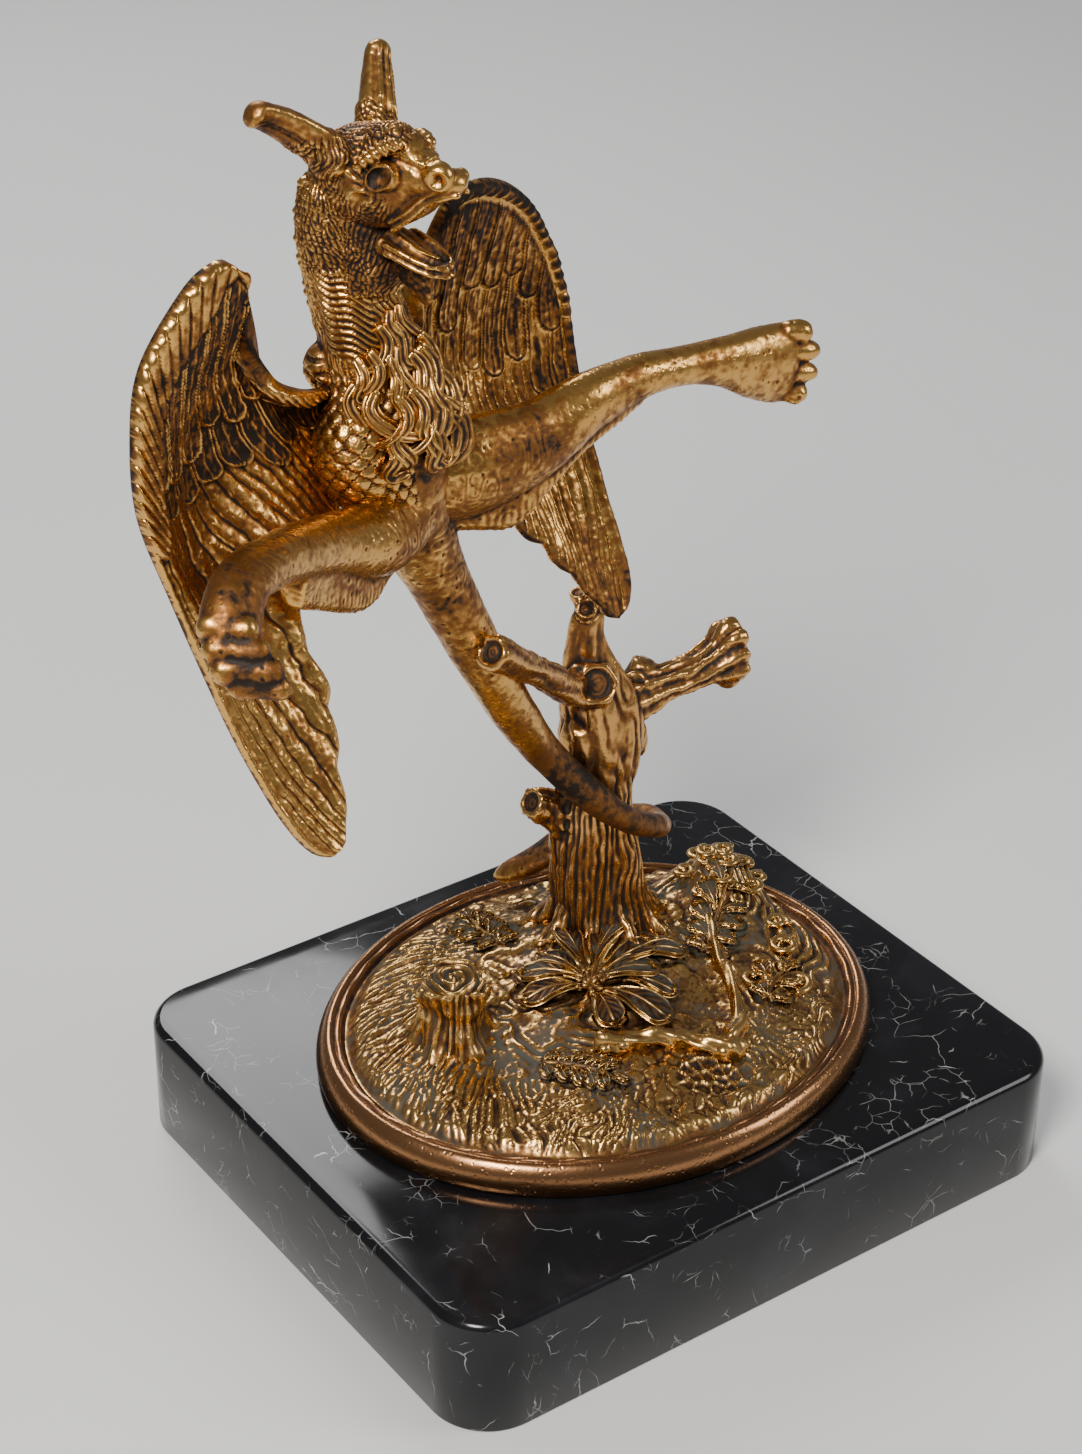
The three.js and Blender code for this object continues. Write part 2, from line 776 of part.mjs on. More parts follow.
const statue = new THREE.Group();
statue.add(meshOf("marble_plinth", makePlinth(), marble));
statue.add(meshOf("oval_ground_with_tree", ground, brownBronze));
statue.add(meshOf("chimera", beast, giltBronze));

export default statue;
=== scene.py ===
"""A fabulous winged beast in worn gilt bronze, on a leafy oval and a marble plinth.

Its tail winds round a tree stump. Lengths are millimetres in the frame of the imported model, and become
metres when a mesh is written.
"""

import math

import bpy
import numpy as np
from bpy.props import FloatProperty, FloatVectorProperty, PointerProperty
from mathutils import Matrix, Vector


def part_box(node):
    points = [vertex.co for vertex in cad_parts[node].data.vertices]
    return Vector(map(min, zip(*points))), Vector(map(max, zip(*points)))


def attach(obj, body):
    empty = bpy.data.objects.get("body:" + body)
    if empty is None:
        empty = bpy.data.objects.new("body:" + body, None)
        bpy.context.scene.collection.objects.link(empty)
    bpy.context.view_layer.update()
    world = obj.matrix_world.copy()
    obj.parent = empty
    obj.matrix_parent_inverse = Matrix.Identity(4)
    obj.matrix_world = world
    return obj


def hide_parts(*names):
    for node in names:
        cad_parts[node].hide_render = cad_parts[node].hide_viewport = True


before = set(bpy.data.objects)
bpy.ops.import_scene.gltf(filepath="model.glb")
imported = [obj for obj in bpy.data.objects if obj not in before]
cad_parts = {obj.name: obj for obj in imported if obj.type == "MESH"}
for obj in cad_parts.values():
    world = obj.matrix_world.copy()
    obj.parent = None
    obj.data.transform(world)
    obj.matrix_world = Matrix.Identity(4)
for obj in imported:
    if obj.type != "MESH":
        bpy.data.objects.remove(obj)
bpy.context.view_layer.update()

bl_info = {
    "name": "Winged Beast Statue",
    "version": (1, 0, 0),
    "blender": (4, 5, 0),
    "location": "View3D > Sidebar > Statue",
    "description": "Builds the bronze beast, its tree stump and oval ground, and the marble plinth",
    "category": "Object",
}

MM = 0.001
UP = np.array([0.0, 0.0, 1.0])


def box_mm(node):
    low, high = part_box(node)
    return np.array(low) / MM, np.array(high) / MM


# Places and directions
PLINTH_LOW, PLINTH_HIGH = box_mm("marble_plinth")
OVAL_LOW, _ = box_mm("oval_ground_with_tree")
PLINTH_TOP = PLINTH_HIGH[2]
OVAL_FLOOR = OVAL_LOW[2]
OVAL_HALF = np.array([-OVAL_LOW[0], -OVAL_LOW[1]])
FACING = math.radians(17)
HEAD_TURN = math.radians(19)
HEAD_LIFT = math.radians(15)
LEFTWARD = np.array([math.cos(FACING), math.sin(FACING), 0.0])
FORWARD = np.array([math.sin(FACING), -math.cos(FACING), 0.0])
TRUNK_FOOT = np.array([17.0, 22.0, 50.0])
HEAD_MIDDLE = np.array([-65.0, 2.0, 298.0])
KNOLL = {"x": 57.0, "y": 19.0, "height": 16.0, "spread": 13.0}
POOL = {"x": 17.0, "y": -20.0, "depth": 1.6, "spread": 10.0}
STUMP = np.array([-43.4, 5.6, 45.0])
GROUND_EDGE = 0.905  # of the oval's half-size, where the ground meets the rim
GROUND_DEPTH = 4.0

# Fineness: cells of each remeshed skin, and the most triangles of a piece
BREAST_CELL = 0.34
LIMB_CELL = 0.5
HEAD_CELL = 0.32
TREE_CELL = 0.5
STUMP_CELL = 0.36
MOST_TRIANGLES = 195000
MOST_SHEET_TRIANGLES = 190000
MEETING_GAP = 0.004
WING_GRID = (460, 120)
WING_STEP = 0.004  # of a wing's length, for its slope
GROUND_CELLS = 300
BOTTOM_EDGE = 0.6  # bevel under the plinth

# Camera and light, in metres: the photograph's viewing angle and a soft studio
CAMERA_PLACE = (-0.4102, -0.5373, 0.5466)
CAMERA_RIGHT = (0.81317, -0.58192, 0.01088)
CAMERA_UP = (0.29606, 0.42966, 0.85308)
CAMERA_BACK = (-0.50110, -0.69047, 0.52167)
CAMERA_LENS = 75.3
CAMERA_SENSOR = 36
LIGHT_TARGET = (-0.02, 0.0, 0.17)
LIGHTS = (
    ("key", (-0.75, -0.45, 1.0), 0.38, 17, (1.0, 0.97, 0.93)),
    ("fill", (0.9, -0.8, 0.8), 0.6, 6, (1, 1, 1)),
    ("back", (0.25, 1.0, 0.9), 0.6, 7, (1, 1, 1)),
)
ROOM_COLOUR = (0.95, 0.96, 1.0, 1)
ROOM_STRENGTH = 0.21
FLOOR_SIZE = 14


# Numbers
def unit(vectors):
    return vectors / np.maximum(np.linalg.norm(vectors, axis=-1, keepdims=True), 1e-9)


def ramp(value, low, high):
    """0 below low, 1 above high, smooth between."""
    t = np.clip((value - low) / (high - low), 0, 1)
    return t * t * (3 - 2 * t)


def band(value, low, high, soft):
    """1 from low to high, falling to 0 over soft on each side."""
    return ramp(value, low - soft, low + soft) * (1 - ramp(value, high - soft, high + soft))


def spline(points, t):
    """Points of a smooth line through the given ones, with t from 0 to 1."""
    p = np.asarray(points, float)
    p = np.vstack([2 * p[0] - p[1], p, 2 * p[-1] - p[-2]])
    spans = len(points) - 1
    s = np.clip(t, 0, 1) * spans
    i = np.minimum(s.astype(int), spans - 1)
    f = (s - i)[:, None]
    a, b, c, d = p[i], p[i + 1], p[i + 2], p[i + 3]
    return 0.5 * (2 * b + (c - a) * f + (2 * a - 5 * b + 4 * c - d) * f**2 + (3 * b - a - 3 * c + d) * f**3)


def even_line(points, t, dense=600):
    """As spline, but t is even along the length. Any further columns follow along."""
    fine = spline(points, np.linspace(0, 1, dense))
    steps = np.linalg.norm(np.diff(fine[:, :3], axis=0), axis=1)
    along = np.concatenate([[0], np.cumsum(steps)])
    wanted = np.asarray(t) * along[-1]
    return np.stack([np.interp(wanted, along, fine[:, k]) for k in range(fine.shape[1])], -1)


def scatter(*whole, seed=0):
    """A fixed random number from 0 to 1 for each set of whole numbers."""
    steps = (374761393, 668265263, 2246822519, 3266489917)
    with np.errstate(over="ignore"):
        n = np.uint32(seed * 1013 + 77)
        for number, step in zip(whole, steps):
            n = n ^ (np.asarray(number).astype(np.int64).astype(np.uint32) * np.uint32(step))
            n = (n ^ (n >> np.uint32(13))) * np.uint32(1274126177)
            n = n ^ (n >> np.uint32(16))
    return n.astype(np.float64) / 4294967295.0


def noise(points, size, seed=0):
    """Smooth noise from -1 to 1, with features of the given size."""
    q = np.asarray(points, float) / size
    base = np.floor(q)
    f = q - base
    f = f * f * (3 - 2 * f)
    total = 0
    axes = q.shape[-1]
    for corner in range(2**axes):
        offset = np.array([(corner >> k) & 1 for k in range(axes)])
        weight = np.prod(np.where(offset, f, 1 - f), axis=-1)
        total = total + weight * scatter(*(base + offset).T, seed=seed)
    return 2 * total - 1


def cells(points, size, seed=0):
    """Distance to the nearest and the next of scattered seeds, in seed spacings, and a number per cell."""
    q = np.asarray(points, float) / size
    base = np.floor(q)
    axes = q.shape[-1]
    near = np.full(len(q), 9.0)
    after = np.full(len(q), 9.0)
    name = np.zeros(len(q))
    for step in np.ndindex(*([3] * axes)):
        cell = base + np.array(step) - 1
        spot = np.stack([scatter(*cell.T, seed=seed + 5 * k + 1) for k in range(axes)], -1)
        gap = np.linalg.norm(cell + 0.15 + 0.7 * spot - q, axis=1)
        closer = gap < near
        after = np.where(closer, near, np.minimum(after, gap))
        name = np.where(closer, scatter(*cell.T, seed=seed + 31), name)
        near = np.where(closer, gap, near)
    return near, after, name


def hill(x, y, at, spread):
    return np.exp(-((x - at[0]) ** 2 + (y - at[1]) ** 2) / spread**2)


def ground_height(x, y):
    """Height of the ground inside the rim, before its relief."""
    reach = (x / (OVAL_HALF[0] * 0.92)) ** 2 + (y / (OVAL_HALF[1] * 0.92)) ** 2
    return (
        PLINTH_TOP
        + 8
        + 9 * (1 - reach)
        + 6 * hill(x, y, TRUNK_FOOT, 20)
        + KNOLL["height"] * hill(x, y, (KNOLL["x"], KNOLL["y"]), KNOLL["spread"])
        - POOL["depth"] * hill(x, y, (POOL["x"], POOL["y"]), POOL["spread"])
    )


# Meshes
def deselect():
    if bpy.context.object and bpy.context.object.mode != "OBJECT":
        bpy.ops.object.mode_set(mode="OBJECT")
    bpy.ops.object.select_all(action="DESELECT")


def choose(piece):
    """Select the piece alone and make it active."""
    deselect()
    piece.select_set(True)
    bpy.context.view_layer.objects.active = piece


def edit_border(piece, **kinds):
    """Enter edit mode with the edges of the open borders selected."""
    choose(piece)
    bpy.ops.object.mode_set(mode="EDIT")
    bpy.ops.mesh.select_mode(type="EDGE")
    bpy.ops.mesh.select_all(action="DESELECT")
    bpy.ops.mesh.select_non_manifold(extend=False, **kinds)


def leave_edit(outwards=True):
    """Turn all faces outwards if asked, and go back to object mode."""
    if outwards:
        bpy.ops.mesh.select_all(action="SELECT")
        bpy.ops.mesh.normals_make_consistent(inside=False)
    bpy.ops.mesh.select_mode(type="VERT")
    bpy.ops.object.mode_set(mode="OBJECT")


def points_of(piece):
    flat = np.empty(len(piece.data.vertices) * 3, np.float32)
    piece.data.vertices.foreach_get("co", flat)
    return flat.reshape(-1, 3).astype(float) / MM


def unit_points(piece):
    """The corners of a primitive of size 1, before it is shaped."""
    return points_of(piece) * MM


def set_points(piece, points):
    piece.data.vertices.foreach_set("co", (points * MM).astype(np.float32).ravel())
    piece.data.update()


def normals_of(piece):
    flat = np.empty(len(piece.data.vertices) * 3, np.float32)
    piece.data.vertex_normals.foreach_get("vector", flat)
    return flat.reshape(-1, 3).astype(float)


def ball(name, segments, rings):
    deselect()
    bpy.ops.mesh.primitive_uv_sphere_add(segments=segments, ring_count=rings, radius=1)
    piece = bpy.context.object
    piece.name = name
    return piece


def grid(name, columns, rows):
    deselect()
    bpy.ops.mesh.primitive_grid_add(x_subdivisions=columns, y_subdivisions=rows, size=2)
    piece = bpy.context.object
    piece.name = name
    return piece


def boss(name, middle, sizes, axes=None, segments=24, rings=14):
    """A round body of three half-sizes along three directions."""
    axes = np.array([LEFTWARD, FORWARD, UP]) if axes is None else np.array(axes)
    piece = ball(name, segments, rings)
    set_points(piece, np.asarray(middle) + unit_points(piece) * np.asarray(sizes) @ axes)
    face_outwards(piece)
    return piece


def strand(name, stations, across, segments=24, rings=60, relief=None, cap=0.04):
    """A closed bar along a line. A station is x, y, z, half-width and half-height."""
    full = [list(s) + [s[-1]] * (5 - len(s)) for s in stations]
    piece = ball(name, segments, rings)
    p = unit_points(piece)
    t = np.arccos(np.clip(p[:, 2], -1, 1)) / math.pi
    turn = np.arctan2(p[:, 1], p[:, 0])
    at = even_line(full, t)
    before, after = even_line(full, np.maximum(t - 0.005, 0)), even_line(full, np.minimum(t + 0.005, 1))
    ahead = unit(after[:, :3] - before[:, :3])
    side = unit(across - ahead * (ahead @ across)[:, None])
    other = np.cross(side, ahead)
    edge = np.clip(np.minimum(t, 1 - t) / cap, 0, 1)
    round_end = np.sqrt(np.maximum(1 - (1 - edge) ** 2, 0))
    scale = round_end * (relief(t, turn) if relief else 1)
    wide, high = np.cos(turn) * at[:, 3] * scale, np.sin(turn) * at[:, 4] * scale
    set_points(piece, at[:, :3] + (side * wide[:, None] + other * high[:, None]))
    face_outwards(piece)
    return piece


def face_outwards(piece):
    choose(piece)
    bpy.ops.object.mode_set(mode="EDIT")
    leave_edit()


def join(name, pieces):
    deselect()
    for piece in pieces:
        piece.select_set(True)
    bpy.context.view_layer.objects.active = pieces[0]
    if len(pieces) > 1:
        bpy.ops.object.join()
    pieces[0].name = name
    pieces[0].data.name = name
    return pieces[0]


def use_modifier(piece, kind, **settings):
    modifier = piece.modifiers.new(kind.lower(), kind)
    for key, value in settings.items():
        setattr(modifier, key, value)
    choose(piece)
    bpy.ops.object.modifier_apply(modifier=modifier.name)


def weld(piece, voxel, smooth=3):
    """One skin round all that is joined in the piece, softened where forms meet."""
    use_modifier(piece, "REMESH", mode="VOXEL", voxel_size=voxel * MM, use_smooth_shade=True)
    if smooth:
        use_modifier(piece, "SMOOTH", factor=0.5, iterations=smooth)
    return piece


def thin_to(piece, triangles):
    count = sum(len(face.vertices) - 2 for face in piece.data.polygons)
    if count > triangles:
        use_modifier(piece, "DECIMATE", ratio=triangles / count)


def push(piece, depth):
    """Move each corner out along its normal by depth, in millimetres."""
    set_points(piece, points_of(piece) + normals_of(piece) * depth[:, None])


def mark_hollows(piece, fine_scale=0.09, broad_scale=0.5, stain_and_painted_light=0.0):
    """Write how hollow each corner is, above 0 in a recess and below 0 on a ridge, with its given stains and
    painted shade or highlight added.
    """
    mesh = piece.data
    ends = np.empty(len(mesh.edges) * 2, np.int32)
    mesh.edges.foreach_get("vertices", ends)
    a, b = ends.reshape(-1, 2).T
    count = len(mesh.vertices)
    degree = np.maximum(np.bincount(a, minlength=count) + np.bincount(b, minlength=count), 1)
    here = points_of(piece)
    normals = normals_of(piece)
    now = here.copy()
    depths = {}
    for round_number in range(1, 31):
        total = np.stack(
            [np.bincount(a, now[b, k], count) + np.bincount(b, now[a, k], count) for k in range(3)], -1
        )
        now = 0.35 * now + 0.65 * total / degree[:, None]
        if round_number in (4, 30):
            depths[round_number] = np.einsum("ij,ij->i", now - here, normals)
    hollow = 0.6 * np.clip(depths[4] / fine_scale, -1, 1) + 0.6 * np.clip(depths[30] / broad_scale, -1, 1)
    value = mesh.attributes.new("hollow", "FLOAT", "POINT")
    value.data.foreach_set("value", np.clip(hollow + stain_and_painted_light, -1, 1).astype(np.float32))


def finish_piece(piece, material, node):
    """Shade and dress one piece, hang it on the root body and hide the part of the imported model that it
    replaces.
    """
    piece.data.polygons.foreach_set("use_smooth", [True] * len(piece.data.polygons))
    if "hollow" not in piece.data.attributes:
        mark_hollows(piece)
    piece.data.materials.clear()
    piece.data.materials.append(material)
    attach(piece, "root")
    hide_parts(node)
    print(piece.name, sum(len(f.vertices) - 2 for f in piece.data.polygons))
    return piece


# The beast's lines: x, y, z, half-width and half-height, in millimetres
BODY_LINE = [
    (-73, 11, 299, 6, 6),
    (-70.5, 12, 284, 9, 9),
    (-67.5, 10, 268, 10, 10),
    (-65, 7.5, 254, 12, 11.6),
    (-62.7, 4.5, 238, 15.6, 13.6),
    (-60.5, 3.5, 222, 14, 12.6),
    (-55, 5, 206, 9.8, 9.6),
    (-47, 6.4, 189, 7.8, 7.8),
    (-38.8, 7.2, 172, 7, 7),
    (-30.4, 8, 156, 6.4, 6.4),
    (-20.5, 10.5, 139, 5.8, 5.8),
]
TAIL_LINE = [
    (-38.8, 7.2, 172, 6.6, 6.6),
    (-30.4, 8, 156, 6.4, 6.4),
    (-20.5, 10.5, 139, 5.8, 5.8),
    (-8, 15, 121, 5, 5.2),
    (4, 10, 105.5, 4.4, 4.8),
    (16, 8.5, 94, 3.8, 4.2),
    (30.5, 14, 84, 3.5, 3.8),
    (36, 29, 77, 3.5, 3.8),
    (28, 42, 71, 3.4, 4),
    (15, 45.5, 63.4, 3.4, 5.4),
    (7, 51, 57.6, 2.8, 4.4),
    (2.5, 54, 55.4, 1.2, 2.0),
]
LEFT_LEG = [
    (-58, 4, 220, 11, 9),
    (-43.5, 0, 221.3, 12.6, 8.8),
    (-25, -1, 223.4, 10.5, 7.6),
    (-7.5, -1, 229.6, 7.6, 6.2),
    (8.4, 0, 231.5, 5.6, 5.2),
    (24, 0, 230.5, 5.2, 4.8),
    (36, 0, 228.2, 7.0, 5.2),
    (47, 1, 224.8, 9.8, 5.4),
    (53.5, 1, 223.2, 11, 5.2),
    (59.0, 1, 222.4, 10.6, 4.2),
]
RIGHT_LEG = [
    (-58, 3, 216, 10, 10),
    (-73, -6, 214, 9.4, 9.4),
    (-91, -15, 221, 7.6, 7.6),
    (-106, -25, 228, 6.6, 6.6),
    (-119, -34, 233, 6.2, 6),
    (-129.5, -42, 235.5, 6.4, 6.0),
    (-135.6, -47.6, 232.4, 6.8, 6.2),
    (-137.4, -50.4, 227.6, 6.8, 5.6),
    (-137.0, -52.4, 222.6, 6.4, 4.6),
]


# Hems of fur below the forelegs: the upper edge and the lower edge
LEFT_HEM = (
    [(-50, 1, 222), (-30, 0, 226), (-10, -1, 230), (6, 0, 230.5)],
    [(-49, 1, 206), (-32, -1, 202.5), (-22.5, -1.2, 208.5), (-12, -1.5, 217), (6.5, 0, 225.5)],
)
RIGHT_HEM = (
    [(-62, 1, 212), (-80, -9, 216), (-98, -20, 224), (-110, -28, 228)],
    [(-66, -2, 203), (-79, -10, 199.5), (-94, -19, 207), (-109, -28, 217)],
)
# Toes of the left paw: height above its middle and how far each reaches
LEFT_TOES = ((9.0, 60.4), (3.6, 63.2), (-2.4, 62.8), (-8.0, 58.6))
# Toes of the right paw, curled to a fist: where each starts and ends, and its size
FIST_TOES = (
    ((-143.4, -48.0, 232.0), (-136.6, -53.2, 231.4), 3.3),
    ((-144.0, -50.6, 227.9), (-135.8, -56.8, 227.6), 3.4),
    ((-143.8, -53.4, 224.2), (-134.4, -60.0, 224.2), 3.3),
    ((-141.6, -56.2, 221.0), (-133.8, -61.6, 220.6), 2.9),
)


def toe(stations):
    """A toe with a thick knuckle and a blunt tip."""
    return strand("toe", stations, UP, 16, 30, cap=0.16)


def make_paws():
    """Four toes on each paw: the left paw reaches out level, and the right one is curled to a fist."""
    toes = []
    for offset, reach in LEFT_TOES:
        middle = 222.4 + offset
        stations = [
            (53.5, 0.4, middle + 0.6, 2.6, 2.6),
            (58.0, -1.2, middle + 0.4, 3.0, 3.2),
            (reach - 1.4, -1.8, middle - 0.5, 2.7, 2.9),
            (reach, -1.2, middle - 1.8, 1.4, 1.5),
        ]
        toes.append(toe(stations))
    for back, tip, size in FIST_TOES:
        back = np.array(back) + np.array([1.6, -1.2, 0])
        tip = np.array(tip) + np.array([3.0, -2.2, 0])
        knuckle = back + 0.70 * (tip - back) + FORWARD * 0.7
        waist = back + 0.42 * (tip - back)
        stations = [
            (*(back + UP * 0.4 - FORWARD * 2.5), size * 0.8, size * 0.7),
            (*back, size, size * 0.86),
            (*waist, size * 0.98, size * 0.9),
            (*knuckle, size * 1.0, size * 0.94),
            (*tip, size * 0.78, size * 0.74),
        ]
        toes.append(toe(stations))
    return toes


def fur_hem(name, top, low, across, thick):
    """A web below a foreleg, thick above and thin below, with a fringe of slanting ribs along its edge."""
    sheets = []
    for face in (1, -1):
        piece = grid(name, 110, 26)
        s = grid_shares(piece)
        upper, lower = even_line(top, s[:, 0]), even_line(low, s[:, 0])
        place = upper + (lower - upper) * s[:, 1:]
        length = np.linalg.norm(np.diff(np.array(low), axis=0), axis=1).sum()
        wave = 0.5 + 0.5 * np.cos(2 * math.pi * (s[:, 0] * length / 2.1 + 0.8 * s[:, 1]))
        fringe = ramp(s[:, 1], 0.62, 0.8) * ramp(s[:, 0], 0.12, 0.25)
        half = 0.5 * thick * (1 - 0.62 * s[:, 1]) + 0.45 * fringe * wave
        edge = np.minimum(1, 12 * np.minimum(s[:, 1], 1 - s[:, 1]))
        place = place + across * (face * half * (0.55 + 0.45 * edge))[:, None]
        set_points(piece, place - UP * (0.5 * fringe * wave)[:, None])
        sheets.append(piece)
    piece = join(name, sheets)
    sew_border(piece)
    return piece


def line_frame(points, line, count=360):
    """How far along the line each corner is, its turn round it (0 in front, + left) and its distance."""
    t = np.linspace(0, 1, count)
    spots = even_line(line, t)[:, :3]
    best = np.zeros(len(points), int)
    for start in range(0, len(points), 8000):
        part = points[start : start + 8000]
        gaps = ((part[:, None, :] - spots[None]) ** 2).sum(-1)
        best[start : start + 8000] = gaps.argmin(1)
    away = points - spots[best]
    turn = np.arctan2(away @ LEFTWARD, away @ FORWARD)
    steps = np.linalg.norm(np.diff(spots, axis=0), axis=1)
    length = np.concatenate([[0], np.cumsum(steps)])
    return length[best], turn, np.linalg.norm(away, axis=1)


def domed_scales(across, down, width, pitch):
    """Relief from 0 to 1 of rounded scales in staggered rows, thicker towards their lower edges."""
    best = np.full(len(across), 9.0)
    lower = np.zeros(len(across))
    for odd in (0, 1):
        row = np.round((down / pitch - odd) / 2) * 2 + odd
        column = np.round(across / width - 0.5 * odd) + 0.5 * odd
        u = (across / width - column) / 0.55
        v = (down / pitch - row) / 0.88
        reach = np.sqrt(u**2 + v**2)
        closer = reach < best
        lower = np.where(closer, v, lower)
        best = np.where(closer, reach, best)
    return np.sqrt(np.maximum(0, 1 - best**2.2)) * (0.62 + 0.38 * lower)


def combed(across, down):
    """Long S-curved ribs that run round the neck, each with one sharp edge."""
    bend = 0.34 * across + 0.9 * np.sin(0.6 * across + 0.1 * down)
    wave = (down - bend) / 1.85
    tooth = wave - np.floor(wave)
    return ramp(tooth, 0.0, 0.22) * (1 - 0.75 * ramp(tooth, 0.3, 1.0))


def tufts(across, down, width, pitch, seed, curl=0.8):
    """Relief from 0 to 1 of short curved strokes that overlap, each with a raised end."""
    flat = np.stack([across, down], -1)
    across = across + 0.55 * width * noise(flat, 2.6 * width, seed)
    down = down + 0.7 * pitch * noise(flat, 1.9 * width, seed + 1)
    best = np.zeros(len(across))
    for layer in (0, 1):
        row_at = down / pitch + 0.5 * layer
        row = np.floor(row_at)
        v = row_at - row
        column_at = across / width + scatter(row, layer, seed=seed + 2)
        column = np.floor(column_at)
        bend = 2 * curl * (scatter(column, row, layer, seed=seed + 3) - 0.5)
        u = (column_at - column) * 2 - 1 + bend * (v - 0.5) * (1 + v)
        stroke = np.sqrt(np.maximum(0, 1 - u**2)) * ramp(v, -0.1, 0.8) * (1 - ramp(v, 0.88, 1.0))
        best = np.maximum(best, stroke)
    return best


def swirls(points, size, density, seed):
    """From -1 to 1: fine engraved curls, the level lines of a smooth field."""
    return np.cos(2 * math.pi * density * noise(points, size, seed))


def make_breast():
    """Neck and breast in one skin, carved with fur above and scales below."""
    parts = [
        strand("breast", BODY_LINE[:7], LEFTWARD, 48, 120, cap=0.05),
        boss("hump", (-74.4, 11.4, 251.6), (6.0, 5.0, 6.2)),
        boss("right_breast", (-72.5, 1, 234), (11.5, 10.5, 16)),
        boss("left_breast", (-55.5, 3, 237), (10, 10, 14)),
    ]
    piece = join("neck_and_breast", parts)
    weld(piece, BREAST_CELL, smooth=3)
    stain_and_painted_light = carve_breast(piece)
    mark_hollows(piece, stain_and_painted_light=stain_and_painted_light)
    thin_to(piece, MOST_TRIANGLES)
    return piece


def carve_breast(piece):
    """Carve scales, ribs, hairs and fur, and give back how stained each corner is, with painted shade on the
    breast under the mane.
    """
    points = points_of(piece)
    length, turn, _ = line_frame(points, BODY_LINE)
    z = points[:, 2]
    degrees = np.degrees(turn)
    side = np.abs(degrees)
    drift = 0.55 * noise(points, 7, 5)
    scaled = ramp(side, 26, 32) * (1 - ramp(side, 150, 160)) * (1 - ramp(z, 250, 255)) * ramp(z, 208, 212)
    scales = domed_scales(turn * 13.0 + drift, length + drift, 3.2, 2.5)
    left_ribs = band(degrees, -92, -28, 8) * band(z, 257, 277, 2)
    right_ribs = band(degrees, 44, 110, 8) * band(z, 252, 277, 2)
    ribbed = np.maximum(left_ribs, right_ribs)
    ribs = combed(turn * 11.0, -z)
    front = band(degrees, -24, 44, 6) * band(z, 240, 286, 2)
    hairs = tufts(turn * 10 + 0.8 * np.sin(0.35 * z), -z, 1.5, 9, 14, 0.5)
    furry = np.maximum(ramp(z, 274, 278), ramp(side, 98, 108) * ramp(z, 246, 252)) * (1 - front)
    fur = tufts(turn * 10.0 + 0.25 * z, -z, 1.5, 3.3, 4, 1.1)
    hump = 1 - ramp(np.linalg.norm(points - np.array([-76, 12, 252]), axis=1), 7, 9.5)
    furry = furry * (1 - 0.85 * hump)
    combed_low = band(z, 250, 260, 2) * band(degrees, -100, -24, 6) * (1 - ribbed)
    holes = band(z, 247, 256, 1) * ramp(np.cos(z * 1.9), 0.2, 0.7) * band(degrees, -126, -106, 3)
    depth = scaled * (1.75 * scales - 0.9) + ribbed * (1.1 * ribs - 0.35) + front * (0.75 * hairs - 0.25)
    depth = depth + furry * (1 - scaled) * (0.95 * fur - 0.35) + combed_low * (0.5 * hairs - 0.2)
    push(piece, depth - 0.45 * holes + 0.18 * noise(points, 9, 2) + 0.06 * noise(points, 1.1, 12))
    # Painted shade: the breast is darkened where the mane's locks lie over it.
    shade_under_mane = band(degrees, -52, 52, 6) * band(z, 226, 268, 3)
    stain_and_painted_light = 0.42 * ramp(z, 272, 280) * (1 - front) + 0.05 * front + scaled * (0.14 - 0.6 * scales)
    return stain_and_painted_light - 0.25 * ribbed + 0.3 * ramp(side, 120, 150) * (1 - hump) + 0.5 * shade_under_mane + 0.25 * holes


def make_limbs():
    """Lower body, tail, shoulders, forelegs and paws in one skin with fine engraving and pits."""
    narrow = [(x, y, z, w - 1.4, h - 1.4) if z > 210 else (x, y, z, w, h) for x, y, z, w, h in BODY_LINE[4:]]
    beside_right = np.cross(UP, unit(np.array([-51.0, -31.0, 0.0])))
    parts = [
        strand("lower_body", narrow, LEFTWARD, 30, 90, cap=0.03),
        strand("tail", TAIL_LINE, UP, 24, 140, cap=0.02),
        strand("left_leg", LEFT_LEG, UP, 30, 90, cap=0.03),
        strand("right_leg", RIGHT_LEG, LEFTWARD, 30, 90, cap=0.03),
        boss("right_shoulder", (-74, -6, 215), (10, 9, 9.5)),
        boss("left_shoulder", (-45, 0, 222), (11, 8, 11)),
        fur_hem("left_hem", *LEFT_HEM, FORWARD, 12),
        fur_hem("right_hem", *RIGHT_HEM, beside_right, 11),
    ]
    piece = join("limbs_and_tail", parts + make_paws())
    weld(piece, LIMB_CELL, smooth=3)
    points = points_of(piece)
    x, z = points[:, 0], points[:, 2]
    coil = (1 - ramp(z, 120, 132)) * ramp(x, -40, -30)
    curled = (1 - ramp(x, -30, -5)) * (1 - coil) * ramp(noise(points, 12, 6), -0.4, 0.2)
    curled = curled * (1 - ramp(-x, 122, 130))
    engraved = 0.055 * curled * swirls(points, 4.2, 2.0, 6) + 0.09 * (1 - coil) * noise(points, 1.3, 5)
    dents = -0.34 * (1 - ramp(cells(points, 3.0, 11)[0], 0.08, 0.2)) * ramp(noise(points, 14, 8), -0.5, 0.2)
    push(piece, engraved + dents + 0.3 * noise(points, 9, 2))
    fist = 1 - ramp(x, -134, -124)
    far_leg = ramp(x, -30, 0) * ramp(z, 205, 212)
    stain_and_painted_light = 0.95 * coil + 0.6 * fist - 0.1 * far_leg + 0.24 * noise(points, 16, 4)
    mark_hollows(piece, 0.13, stain_and_painted_light=stain_and_painted_light)
    thin_to(piece, MOST_TRIANGLES)
    return piece
